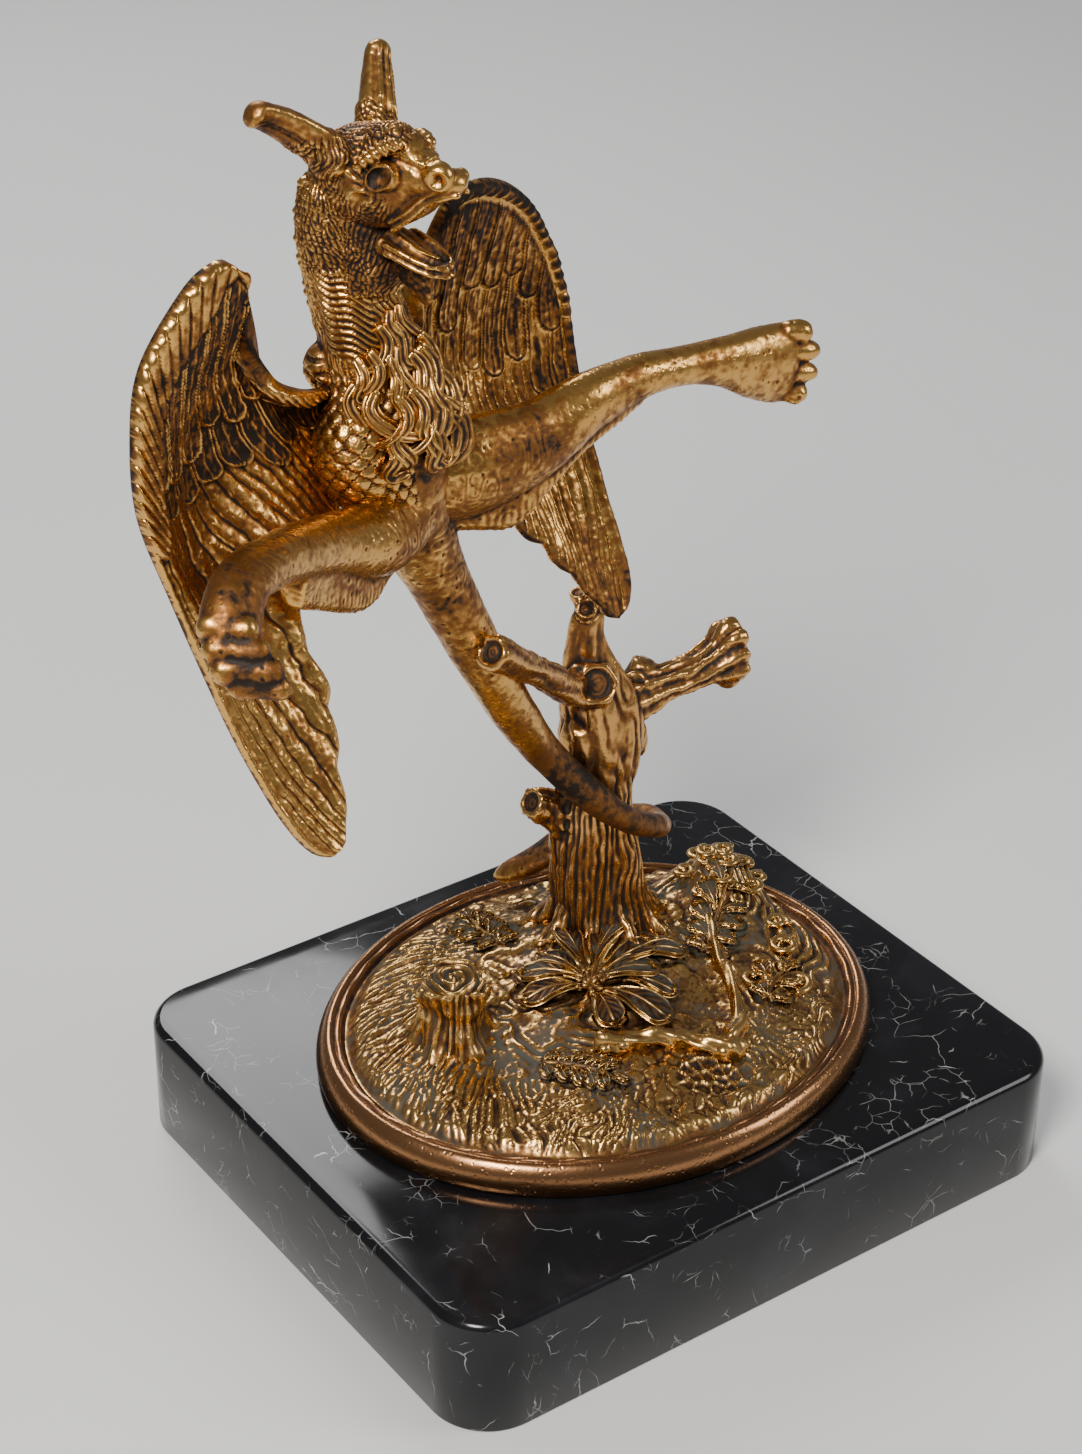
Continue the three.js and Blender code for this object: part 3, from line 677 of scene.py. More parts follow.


# Wings, with lengths outwards, forwards and up from the shoulder. leading and trailing are the two edges,
# outline is the far edge at each height, and flat is where the bow begins. feather is the width of the long
# feathers and lean their slope. tiers give the lower end and the spread of each row over them. roll has the
# width of the rolled edge up to the top of the wing and beyond it, and twist, rope and outer_rope its turns.
# rib, slant and rib_reach shape the short feathers inside it. bright is the strength of the painted highlight
# on the outer part of the rolled edge.
RIGHT_WING = {
    "side": -1,
    "shoulder": np.array([-82.9, 3.0, 242.0]),
    "outline": [(-90, 34), (-83, 37), (-69, 43), (-50, 49), (-20, 55), (0, 58.5), (18, 59.5), (60, 59.5)],
    "lean": 0.42,
    "feather": 6.6,
    "flat": 0.02,
    "tiers": [(6, 12), (-8, 9)],
    "tilt": 0.0,
    "top": 0.30,
    "roll": (7.0, 2.1),
    "twist": 3.4,
    "rope": 0.45,
    "outer_rope": 0.0,
    # painted highlight on the outer roll: full on this near wing
    "bright": 1.0,
    "rib": 4.4,
    "slant": -0.7,
    "rib_reach": 12.0,
    "scallop": 0.05,
    "leading": [
        (-6, -2, 6), (6, 0, 11), (15.5, 0, 17.6), (22.6, 0, 29), (24.4, 1, 41), (28, 2, 49),
        (33.4, 2, 51.4), (42, 1, 47.4), (55, 0, 34), (59, 0, 18), (58.5, 0, 0), (55, 5, -20),
        (50, 15, -50), (46.5, 23, -68), (43.5, 28, -78), (40, 31, -84), (36, 32.4, -86.8),
    ],
    "trailing": [
        (-12, -3, 3), (-11, -3, -13), (-6, 0, -27), (13, 6, -34), (20, 12, -43), (20, 18, -55),
        (25.5, 26, -72), (28, 30, -81), (31, 31.8, -85.4), (35, 32.5, -87),
    ],
}
LEFT_WING = {
    "side": 1,
    "shoulder": np.array([-46.0, 18.9, 242.0]),
    "outline": [(-90, 46), (-74, 50), (-60, 54), (-48, 56), (-32, 58.5), (-15, 60), (0, 60.5), (60, 60.5)],
    "lean": 0.06,
    "feather": 6.6,
    "flat": -0.1,
    "tiers": [(3, 16), (-16, 9)],
    "tilt": -0.3,
    "top": 0.28,
    "roll": (4.6, 4.4),
    "twist": 3.7,
    "rope": 0.6,
    "outer_rope": 1.0,
    # painted highlight on the outer roll: faint on this far wing
    "bright": 0.2,
    "rib": 4.4,
    "slant": 0.4,
    "rib_reach": 0.0,
    "scallop": 0.05,
    "leading": [
        (-6, -2, 2), (4, 0, 6), (5.5, 0, 18), (8.5, 0, 29), (16, 1, 38.5), (28, 2, 38.5), (43, 1, 29.5),
        (54, 0, 15), (60, 0, 0), (60, 3, -15), (58.5, 8, -32), (57, 15, -49), (57, 20, -62),
        (56.5, 24.5, -73), (53.5, 27, -79.5), (49.5, 28, -81.4),
    ],
    "trailing": [
        (-12, -3, 1), (-11, -3, -13), (-5, 0, -28), (12, 5, -36), (21, 12, -44.5), (27, 16, -52),
        (35, 21, -63.5), (41, 25, -73), (44.5, 27.4, -79), (48.5, 28.1, -81.6),
    ],
}


def grid_shares(piece):
    """How far each corner of a new grid lies across and up, from 0 to 1."""
    return (unit_points(piece)[:, :2] + 1) / 2


def wing_place(wing, p, q):
    """Middle surface of a wing: p runs along the leading edge, q from it to the trailing edge."""
    lead = even_line(wing["leading"], p)
    trail = even_line(wing["trailing"], p)
    scallop = 1 + wing["scallop"] * np.abs(np.sin(p * 27)) * ramp(p, 0.5, 0.62) * (1 - ramp(p, 0.96, 1))
    span_length = np.linalg.norm(trail - lead, axis=1)
    local = lead + (trail - lead) * (q * scallop)[:, None]
    bow = np.minimum(9.5, 0.22 * span_length) * np.sin(math.pi * np.minimum(0.9, p + 0.12))
    bow = bow * ramp(q, wing["flat"], 0.5) * (1 - ramp(q, 0.55, 1.0))
    place = (
        wing["shoulder"]
        + LEFTWARD * (wing["side"] * local[:, 0])[:, None]
        + FORWARD * (local[:, 1] - bow)[:, None]
        + UP * local[:, 2][:, None]
    )
    return place, local, span_length


def feather_relief(wing, out, up, from_edge, seed):
    """Height and stain of tiers of long round-ended feathers, with straight flutes below them."""
    outline = wing["outline"]
    edge = np.interp(up, [row[0] for row in outline], [row[1] for row in outline])
    flat = np.stack([out, up], -1)
    inward = edge - out
    lean = wing["lean"] * np.maximum(0, 24 - np.maximum(up, -24)) * ramp(inward, 4, 52)
    w = inward - lean + 0.9 * noise(flat, 11, seed) + 0.3 * noise(flat, 3, seed + 7)
    width = wing["feather"]
    flute = w / (0.44 * width) + 0.1 * noise(flat, 6, seed + 3)
    number = np.floor(flute)
    u = (flute - number) * 2 - 1
    relief = 0.9 * np.sqrt(np.maximum(0, 1 - u**2)) + 0.1 * noise(flat * np.array([1, 0.3]), 1.0, seed + 6)
    relief = relief * (0.85 + 0.3 * scatter(number, seed=seed + 2))
    stain_and_painted_light = -0.22 + 0.6 * ramp(np.abs(u), 0.72, 0.98)
    for tier in (2, 1):
        across = w / width + 0.5 * tier
        number = np.floor(across)
        u = (across - number) * 2 - 1
        low, spread = wing["tiers"][tier - 1]
        end = low + 1.25 * spread * (scatter(number, tier, seed=seed) - 0.5) + wing["tilt"] * (out - 30)
        half = 0.5 * width
        beyond = np.maximum(0, end + half - up) / half
        reach = np.sqrt(u**2 + beyond**2)
        on = 1 - ramp(reach, 0.94, 1.04)
        quill = 0.35 * np.exp(-((u / 0.08) ** 2)) * (1 - ramp(reach, 0.5, 0.7))
        rim = np.exp(-(((reach - 0.84) / 0.08) ** 2)) + quill
        barbs = 0.16 * noise(flat * np.array([1, 0.25]), 0.9, seed + 11)
        height = 0.8 + 0.7 * (2 - tier) + 0.62 * rim + barbs
        relief = relief * (1 - on) + on * np.maximum(height, relief)
        stain_and_painted_light = stain_and_painted_light * (1 - on) + on * (0.55 - 0.7 * rim)
    quiet = ramp(from_edge, 3, 6)
    return relief * quiet, stain_and_painted_light * quiet


def rim_relief(wing, p, from_edge, length, span_length):
    """Height and staining of the rolled leading edge and of the short slanting feathers inside it, with a
    painted highlight on the outer part of the roll.
    """
    along = p * length
    top = wing["top"]
    inner = 1 - ramp(p, top - 0.12, top + 0.02)
    wide = wing["roll"][0] * inner + wing["roll"][1] * (1 - inner)
    wide = np.minimum(wide, 0.3 * span_length)
    hump = np.sqrt(np.maximum(1 - ((from_edge - wide / 2) / (wide / 2)) ** 2, 0))
    twist = 0.5 + 0.5 * np.cos(2 * math.pi * (along / wing["twist"] + 0.22 * from_edge))
    rope = wing["rope"] * (inner + (1 - inner) * wing["outer_rope"] * (1 - ramp(p, 0.56, 0.66)))
    roll = hump * wide * 0.4 + rope * twist * hump
    slant = (along + wing["slant"] * from_edge) / wing["rib"]
    u = (slant - np.floor(slant)) * 2 - 1
    far = wing["rib_reach"] * band(p, top - 0.02, top + 0.3, 0.05)
    beyond = np.maximum(0, from_edge - (far - 2.4)) / 2.4
    reach = np.sqrt(u**2 + beyond**2)
    on = (1 - ramp(reach, 0.86, 1.0)) * ramp(far, 3, 5)
    ribs = on * (0.5 + 1.7 * np.sqrt(np.maximum(0, 1 - reach**2)))
    # Painted highlight on the outer part of the rolled edge, full on the near wing and faint on the far one.
    stain_and_painted_light = -0.3 * hump * (1 - inner) * wing["bright"] + 0.1 * hump * inner
    return np.maximum(roll, ribs), stain_and_painted_light + on * (1.0 - 1.35 * ramp(np.abs(u), 0.4, 0.8))


def make_wing(name, wing, seed):
    """A bowed blade with carved feathers in front, a rolled leading edge and a plainer, fluted back."""
    front = grid(name, *WING_GRID)
    p, q = grid_shares(front).T
    middle, local, span_length = wing_place(wing, p, q)
    before, after = np.maximum(p - WING_STEP, 0), np.minimum(p + WING_STEP, 1)
    along = wing_place(wing, after, q)[0] - wing_place(wing, before, q)[0]
    before, after = np.maximum(q - WING_STEP, 0), np.minimum(q + WING_STEP, 1)
    down = wing_place(wing, p, after)[0] - wing_place(wing, p, before)[0]
    normal = unit(np.cross(along, down))
    normal *= 1.0 if (normal @ FORWARD).mean() > 0 else -1.0
    normal = unit(normal + 0.4 * FORWARD)
    fine = even_line(wing["leading"], np.linspace(0, 1, 200))
    length = np.linalg.norm(np.diff(fine, axis=0), axis=1).sum()
    from_edge = q * span_length
    feathers, stain_and_painted_light = feather_relief(wing, local[:, 0], local[:, 2], from_edge, seed)
    rim, rim_stain_and_highlight = rim_relief(wing, p, from_edge, length, span_length)
    clear = 1 - ramp(rim, 0.15, 0.8)
    wear = 0.13 * noise(middle, 1.2, seed) + 0.3 * noise(middle, 7, seed + 1)
    edge = np.minimum(np.minimum(q, 1 - q) * 60, np.minimum(p, 1 - p) * 90)
    edge = np.where(edge < 0.001, 0, np.sqrt(1 - (1 - np.clip(edge, 0, 1)) ** 2))
    lower = ramp(1 - q, 0, 0.06)
    height = (0.8 + feathers * clear * lower + rim + wear) * edge
    set_points(front, middle + normal * height[:, None])
    back = grid(name + "_back", *WING_GRID)
    flutes = 0.28 * np.sin(p * 150 + 4 * q) * ramp(q, 0.12, 0.3)
    behind = (0.9 + 0.35 * np.exp(-(((from_edge - 2.5) / 3) ** 2)) + flutes) * edge
    set_points(back, middle - normal * behind[:, None])
    mark_hollows(front, stain_and_painted_light=(stain_and_painted_light * clear + rim_stain_and_highlight) + 0.12 * noise(middle, 12, seed))
    mark_hollows(back, stain_and_painted_light=np.full(len(p), 0.25))
    piece = join(name, [front, back])
    sew_border(piece, gap=False)
    thin_to(piece, MOST_SHEET_TRIANGLES)
    drop_slivers(piece)
    return piece


def drop_slivers(piece):
    """Delete the faces that thinning leaves hanging by one edge."""
    edit_border(piece, use_multi_face=False, use_non_contiguous=False, use_verts=False)
    bpy.ops.mesh.delete(type="EDGE")
    leave_edit(outwards=False)


def sew_border(piece, gap=True):
    """Join the borders of two sheets, across a gap or where they meet, and face the skin outwards."""
    edit_border(piece)
    if gap:
        bpy.ops.mesh.bridge_edge_loops()
        bpy.ops.mesh.select_all(action="SELECT")
    bpy.ops.mesh.remove_doubles(threshold=MEETING_GAP * MM)
    leave_edit()


# Head: places are given as forwards, aside and upwards from the middle of the skull
AHEAD = np.array([math.sin(HEAD_TURN), -math.cos(HEAD_TURN), 0.0])
ASIDE = np.array([math.cos(HEAD_TURN), math.sin(HEAD_TURN), 0.0])
NOSE = AHEAD * math.cos(HEAD_LIFT) + UP * math.sin(HEAD_LIFT)
CROWN = UP * math.cos(HEAD_LIFT) - AHEAD * math.sin(HEAD_LIFT)
HEAD_AXES = np.array([ASIDE, NOSE, CROWN])


def at_head(fore, side, high):
    return HEAD_MIDDLE + NOSE * fore + ASIDE * side + CROWN * high


def head_strand(name, stations, across, segments=16, rings=40, relief=None, cap=0.08):
    """A strand whose stations are forwards, aside, upwards, half-width and half-height."""
    placed = [(*at_head(*s[:3]), *s[3:]) for s in stations]
    return strand(name, placed, across, segments, rings, relief, cap)


# Ears by side: stations, and where the cup faces, its depth and its ridges
EARS = {
    -1: (
        [
            (-4.5, -6, 4.6, 5.6, 4.6),
            (-6.2, -11, 10.6, 5.4, 4.6),
            (-8.6, -16.6, 16.4, 4.8, 4.2),
            (-10.6, -21.6, 20.4, 4.0, 3.6),
            (-11.4, -24.6, 22.2, 3.2, 3.0),
        ],
        (1.1, 0.74, 0.05),
    ),
    1: (
        [
            (-4.6, 6.4, 6, 6.0, 5.0),
            (-5.2, 10.4, 12.4, 5.2, 4.4),
            (-7.0, 14.8, 18.6, 4.2, 3.8),
            (-8.4, 18.4, 24.0, 3.2, 3.0),
            (-9.0, 20.0, 26.4, 2.5, 2.4),
        ],
        (0.1, 0.26, 0.12),
    ),
}


def make_ear(side):
    """A long blunt ear: the near one droops, cupped below, and the far one stands, ridged in front."""
    stations, (centre, deep, ridge) = EARS[side]

    def cup(t, turn):
        near = np.cos(turn - centre)
        open_side = np.maximum(0, near) ** 0.8
        hollow = deep * open_side * band(t, 0.2, 0.88, 0.1)
        ridges = ridge * np.cos(9 * (turn - centre)) * np.maximum(0, near) * band(t, 0.2, 0.9, 0.08)
        return 1 - hollow + ridges

    return head_strand("ear", stations, NOSE, 44, 70, cup, cap=0.1)


SKULL = [
    (-17, 0, 0, 3, 3), (-13, 0, 0.6, 8, 8), (-6, 0, 1.2, 9.8, 10.8), (1, 0, 0.2, 9.2, 11.4),
    (7, 0, 0.5, 7.2, 8.8), (12, 0, 0.2, 5.2, 5.6), (17, 0, -1.5, 4.2, 3.8), (21.5, 0, -2.0, 3.8, 3.2),
    (24, 0, -2.8, 2.4, 1.8),
]
FOREHEAD = [
    (1, 0, 7, 5.6, 5.4), (6.0, 0, 7.6, 5.4, 4.3), (9.5, 0, 6.6, 4.8, 3.6), (12.5, 0, 4.8, 4.0, 2.9),
    (16.5, 0, 1.6, 3.2, 1.9),
]
PALATE = [(2, 0, -8.2, 5.0, 3.4), (9, 0, -6.3, 4.8, 3.0), (15, 0, -3.7, 4.1, 2.3), (20.5, 0, -2.9, 3.3, 1.8)]
THROAT = [(-9, 0, -4, 8, 8), (-9, 0, -14, 8, 8), (-11, 0, -26, 8.4, 8.4)]
JAW = [
    (-2, 0, -13.4, 5.4, 3.4), (3, 0, -16.4, 5.3, 2.6), (7.5, 0, -18.9, 4.8, 2.1), (11, 0, -20.6, 3.9, 1.6),
    (14.2, 0, -22.0, 1.7, 0.9),
]
TONGUE = [(1, 0, -13.2, 2.2, 1.6), (6.5, 0, -16.4, 2.3, 1.3), (12.6, 0, -19.2, 1.1, 0.8)]
BEARD = [
    (1.6, 0, -17.4, 2.2, 5.4), (4.0, 0, -21.6, 1.9, 4.8), (5.4, 0, -25.6, 1.6, 3.2),
    (5.8, 0, -29.6, 0.9, 1.2),
]
# Each side differs a little. The last number of a brow's station is its half-width.
BROWS = {
    -1: [
        (1.4, -8.4, 3.6, 0.9), (4.2, -8.2, 6.2, 1.5), (7.6, -7.4, 7.8, 1.7), (11, -6.0, 8.6, 1.6),
        (13.4, -4.8, 8.4, 1.0),
    ],
    1: [
        (2.5, 7.8, 3.4, 1.0), (5.5, 7.2, 5.6, 1.7), (9.0, 6.2, 7.2, 2.0), (12.4, 4.8, 6.6, 1.6),
        (14.0, 3.8, 5.4, 1.0),
    ],
}
NOSTRILS = {-1: ((19.7, -3.1, 0.7), 1.42), 1: ((21.2, 2.4, -1.0), 0.8)}
UPPER_LIP = [(4.0, 5.0, -10.7), (9, 4.7, -8.7), (14.9, 3.9, -5.5), (20, 3.2, -4.3), (23.4, 1.2, -4.3)]
JAW_RIM = [(0.8, 5.3, -13.2), (5, 5.2, -15.4), (9.2, 4.5, -18.0), (12.4, 3.0, -20.0), (14.6, 0.2, -21.2)]
# Lips: line, share of its width, lift and half-width
LIPS = (
    (UPPER_LIP, 1, 0, 0.75),
    (UPPER_LIP, 1.08, 1.7, 0.45),
    (JAW_RIM, 1, 0, 0.75),
    (JAW_RIM, 1.10, -1.9, 0.6),
)
EYE = (7.2, 2.2)  # forwards and upwards


def lip(side, line, share, lift, size):
    """A fold along the mouth on one side."""
    stations = [(fore, side * share * aside, high + lift, size) for fore, aside, high in line]
    return head_strand("lip", stations, CROWN, 10, 50)


def make_head():
    """Skull, throat, open jaws, tongue, beard, ears, brows, almond eyes and flared nostrils."""
    parts = [
        head_strand("skull", SKULL, ASIDE, 40, 70),
        head_strand("forehead", FOREHEAD, ASIDE, 30, 40),
        head_strand("palate", PALATE, ASIDE, 30, 40),
        head_strand("throat", THROAT, ASIDE, 30, 30),
        head_strand("jaw", JAW, ASIDE, 30, 50),
        head_strand("tongue", TONGUE, ASIDE, 16, 30),
        head_strand("beard", BEARD, ASIDE, 24, 40),
    ]
    for side in (-1, 1):
        parts.append(make_ear(side))
        parts.append(head_strand("brow", BROWS[side], CROWN, 24, 60))
        place, size = NOSTRILS[side]
        parts.append(boss("nostril", at_head(*place), size * np.array([2.1, 2.6, 2.5]), HEAD_AXES))
        parts.append(boss("socket", at_head(7.0, side * 6.0, 2.1), (2.6, 4.4, 3.6), HEAD_AXES))
        parts.append(head_strand("eyelid", eye_loop(side, 1.0), CROWN, 10, 90, cap=0.01))
        parts += [lip(side, *fold) for fold in LIPS]
    piece = join("head", parts)
    weld(piece, HEAD_CELL, smooth=3)
    stain_and_painted_light = carve_head(piece)
    mark_hollows(piece, stain_and_painted_light=stain_and_painted_light)
    thin_to(piece, MOST_TRIANGLES)
    return piece


def eye_loop(side, spread):
    """The lid round an eye, thicker above than below."""
    loop = []
    for i in range(17):
        turn = 2 * math.pi * i / 16
        fore = EYE[0] + spread * (3.6 * math.cos(turn) + 0.6 * math.sin(turn))
        high = EYE[1] + spread * (2.7 * math.sin(turn) + 0.5 * math.cos(turn))
        depth = 9.1 - 0.13 * (fore - 1) - 0.10 * abs(high - EYE[1])
        loop.append((fore, side * depth, high, 0.36 + 0.16 * max(0, math.sin(turn))))
    return loop


def carve_head(piece):
    """Carve eyes, nostrils, cheeks, brows and fur, and give back how stained each corner is, with painted
    shadow under the brows and in the upper eye bowls, and painted shade in part on the beard under the jaw.
    """
    points = points_of(piece)
    away = points - HEAD_MIDDLE
    fore, side, high = away @ NOSE, away @ ASIDE, away @ CROWN
    beside = np.abs(side)
    depth = 0.08 * noise(points, 1.1, 4) + 0.10 * noise(points, 3, 5)
    # Bowl-shaped eyes, nostril holes and the scoop of the lower jaw.
    eye = np.hypot((fore - EYE[0]) / 3.2, (high - EYE[1]) / 2.4)
    bowl = np.maximum(0, 1 - eye**2) * ramp(beside, 4.5, 6)
    depth -= 2.0 * bowl
    hole = np.sqrt((fore - 21.0) ** 2 + (beside - 5.9) ** 2 + (high + 0.2) ** 2)
    depth -= 2.4 * (1 - ramp(hole, 0.8, 2.8))
    jaw_top = -13.4 - 0.58 * (fore + 0.5)
    scoop = band(fore, 0.5, 12.5, 1.2) * (1 - ramp(beside, 2.6, 4.2)) * band(high - jaw_top, -1.5, 2.6, 0.8)
    depth -= 1.1 * scoop
    # Wavy ribs that fan back from the eye over the cheek.
    reach = np.hypot(fore - 8.0, high - 2.5)
    fan = np.arctan2(high - 2.5, fore - 8.0)
    ribs = 0.5 + 0.5 * np.cos(13 * fan + 0.5 * reach + 1.1 * np.sin(0.9 * reach + 2 * fan))
    cheek = ramp(reach, 5.6, 6.6) * (1 - ramp(fore, 2, 5)) * ramp(beside, 4, 6) * (1 - ramp(-high, 2, 5))
    cheek = cheek * (1 - ramp(reach, 10, 12)) * (1 - ramp(high, 5, 7))
    depth += cheek * (0.9 * ribs - 0.4)
    # Slanting notches across the brows.
    place = np.stack([fore, side, high], -1)
    brow = np.zeros(len(points))
    for line in BROWS.values():
        for spot in even_line(line, np.linspace(0, 1, 24)):
            gap = np.linalg.norm(place - spot[:3], axis=1)
            brow = np.maximum(brow, 1 - ramp(gap, spot[3], spot[3] + 0.9))
    notches = 0.5 + 0.5 * np.cos(2 * math.pi * (fore - 0.9 * beside + 0.7 * high) / 2.7)
    depth += brow * (1 - 0.8 * ramp(side, 0, 2)) * (0.5 * notches - 0.3)
    # Short curled fur over the crown, the cheeks and the throat.
    ear = ramp(high, 11.5, 13.5) * ramp(beside, 7, 9)
    mouth = ramp(fore, -2.5, 0.5) * ramp(-high, 7.5, 9.5)
    reach_on = 3 * ramp(-high, 0, 3)
    back = np.maximum(1 - ramp(fore, reach_on, 5 + reach_on), ramp(high, 5.0, 7) * (1 - ramp(fore, 11, 14)))
    back = back * ramp(eye, 1.25, 1.6)
    furry = back * (1 - cheek) * (1 - ear) * (1 - mouth) * (1 - brow)
    over = ramp(high, 3, 8)
    along_fur = -0.6 * fore - 0.8 * high * (1 - over) - 0.5 * fore * over
    beside_fur = side * (0.4 + 0.6 * over) + (0.8 * fore - 0.6 * high) * (1 - over)
    fur = tufts(beside_fur, along_fur, 1.25, 2.7, 21, 1.1)
    patchy = 0.9 + 0.5 * noise(points, 5, 31)
    depth += furry * (0.8 * fur - 0.3) * patchy + 0.35 * furry * noise(points, 3.2, 32)
    bridge = band(fore, 10, 20, 2) * ramp(high, 0, 3)
    depth += bridge * (0.2 * swirls(points, 4, 1.6, 3) + 0.12 * noise(points, 1.0, 33))
    beard = ramp(-high, 17.5, 20) * ramp(fore, -1, 1) * (1 - ramp(beside, 2.4, 3.0))
    depth += 0.22 * beard * noise(points, 0.9, 6)
    push(piece, depth)
    cheek_low = ramp(-high, 3, 7) * (1 - ramp(fore, 0, 4))
    stain_and_painted_light = 0.5 * furry - 0.25 * brow - 0.35 * scoop + 0.4 * (1 - ramp(hole, 1.0, 2.2))
    # The beard under the jaw is darkened partly for its own dark colour and partly as painted shade under the
    # jaw.
    stain_and_painted_light = stain_and_painted_light + 0.15 * cheek_low - 0.15 * cheek + 0.6 * beard
    stain_and_painted_light = stain_and_painted_light - 0.1 * ramp(fore, 9, 14) + 0.25 * ear * ramp(-side, 0, 4)
    # Painted shadow of the brow: a band under each brow and the upper part of each eye bowl are darkened.
    brow_shadow = band(eye, 0.9, 1.35, 0.2) * (1 - ramp(fore, 6, 9)) * ramp(beside, 5, 6)
    shade = ramp(high - EYE[1] - 0.5 * (fore - EYE[0]), -1, 2)
    return stain_and_painted_light + 0.3 * bowl * shade - 0.12 * bowl + 0.7 * brow_shadow


# Rows of locks: upper end, length, half-width, first turn in degrees, count and lift
LOCK_ROWS = (
    (268, 12.0, 1.7, -30, 4, 0.7),
    (261, 13.5, 2.1, -62, 7, 1.4),
    (252.5, 14.0, 2.4, -64, 7, 2.1),
    (244, 13.5, 2.5, -48, 6, 2.5),
)
SPIKES = 22


def neck_at(high, stations):
    """Middle and half-sizes of the neck at a height, among its first stations."""
    line = BODY_LINE[:stations]
    share = np.interp(-high, [-station[2] for station in line], np.linspace(0, 1, stations))
    return even_line(line, [share])[0]


def lock_stations(turn, start, long, half_width, swing, hook, lift):
    """Places of an S-shaped lock on the breast, its end lifted off and hooked to one side."""
    stations = []
    for k in range(11):
        q = k / 10
        z = start - long * (q - 0.22 * q**4)
        around = turn + swing * math.sin(2 * math.pi * 0.85 * q) + hook * q**4
        middle = neck_at(z, 7)
        radius = 0.5 * (middle[3] + middle[4]) + 0.2 + lift * math.sin(math.pi * min(1, 0.15 + 0.75 * q))
        spot = np.array([middle[0], middle[1], z])
        spot = spot + (LEFTWARD * math.sin(around) + FORWARD * math.cos(around)) * radius
        size = half_width * (0.45 + 0.75 * math.sin(math.pi * (0.1 + 0.72 * q))) * (1 - 0.45 * q**5)
        stations.append((*spot, size, 1.7 - 0.5 * q))
    return stations


def make_mane():
    """Grooved S-shaped locks in rows down the front of the breast, and short spikes down the nape."""
    parts = []
    for row, (start, long, half_width, first, count, lift) in enumerate(LOCK_ROWS):
        for i in range(count):
            turn = first + 15.0 * i
            pick, other = scatter(row, i, seed=4), scatter(row, i, seed=8)
            hook = (0.5 if (i + row) % 2 else -0.42) * (0.6 + 0.6 * pick)
            swing = 0.15 * (1 if other > 0.35 else -1)
            stations = lock_stations(
                math.radians(turn + 7 * (pick - 0.5)), start - 3.5 * other, long * (0.85 + 0.35 * pick),
                half_width * (0.8 + 0.35 * other), swing, hook, lift,
            )
            parts.append(strand("lock", stations, LEFTWARD, 40, 44, lock_grooves, cap=0.06))
    for i in range(SPIKES):
        high = 296 - 1.5 * i - 0.9 * scatter(i, seed=5)
        middle = neck_at(high, 4)
        turn = math.radians(-104 - 40 * scatter(i, seed=6))
        out = LEFTWARD * math.sin(turn) + FORWARD * math.cos(turn)
        root = np.array([middle[0], middle[1], high]) + out * (middle[3] - 1.8)
        tip = root + out * (1.7 + 1.3 * scatter(i, seed=7)) + UP * (2.2 * scatter(i, seed=8) - 2.0)
        stations = [(*root, 1.6, 2.2), (*((root + tip) / 2), 1.3, 1.7), (*tip, 0.6, 0.7)]
        parts.append(strand("spike", stations, UP, 14, 16))
    piece = join("mane", parts)
    z = points_of(piece)[:, 2]
    # Below a height of 240 mm the locks are darkened further with painted shade.
    stain_and_painted_light = 0.26 + 0.25 * noise(points_of(piece), 6, 3) + 0.3 * ramp(-z, -240, -230)
    mark_hollows(piece, 0.12, 0.5, stain_and_painted_light=stain_and_painted_light)
    return piece


def lock_grooves(t, turn):
    deep = np.sin(math.pi * np.clip(t, 0.02, 0.98)) ** 0.4
    return 1 + 0.17 * np.cos(7 * turn) * deep


def on_ground(x, y, lift=0.0):
    return np.array([x, y, float(ground_height(x, y)) + lift])


# Section of the rim from its inner foot outwards and over: share of the oval's half-size, and height
RIM_PROFILE = (
    (0.86, 0), (0.95, 0), (0.985, 0.05), (0.994, 0.8), (0.999, 2.4), (0.997, 4.4), (0.989, 6.4),
    (0.976, 8.0), (0.96, 9.1), (0.945, 9.3), (0.937, 8.6), (0.933, 8.1), (0.928, 8.6), (0.922, 9.0),
    (0.915, 8.7), (0.908, 7.9), (0.897, 7.3), (0.88, 6.6), (0.86, 5), (0.86, 0.2),
)
RIM_RADIUS = 75  # spreads the section's corners evenly


def make_rim(beads):
    """The rounded moulding round the oval, with a fine beaded line inside it."""
    deselect()
    bpy.ops.mesh.primitive_torus_add(
        major_segments=1152, minor_segments=44, major_radius=1, minor_radius=0.25
    )
    piece = bpy.context.object
    p = unit_points(piece)
    turn = np.arctan2(p[:, 1], p[:, 0])
    around = np.arctan2(p[:, 2], np.hypot(p[:, 0], p[:, 1]) - 1)
    t = 1 - (around / (2 * math.pi) + 1.5) % 1
    spot = even_line([(r * RIM_RADIUS, z, 0) for r, z in RIM_PROFILE], np.clip(t, 0, 1))
    r, z = spot[:, 0] / RIM_RADIUS, spot[:, 1]
    bead = np.exp(-(((r - 0.921) / 0.006) ** 2)) * ramp(z, 7.5, 8.5)
    z = z + 0.42 * bead * np.cos(beads * turn)
    x, y = OVAL_HALF[0] * r * np.cos(turn), OVAL_HALF[1] * r * np.sin(turn)
    worn = 0.12 * noise(np.stack([x, y, z], -1), 5, 3)
    set_points(piece, np.stack([x, y, OVAL_FLOOR + np.clip(z + worn * ramp(z, 0.5, 3), 0, 9.6)], -1))
    face_outwards(piece)
    piece.name = "oval_rim"
    return piece


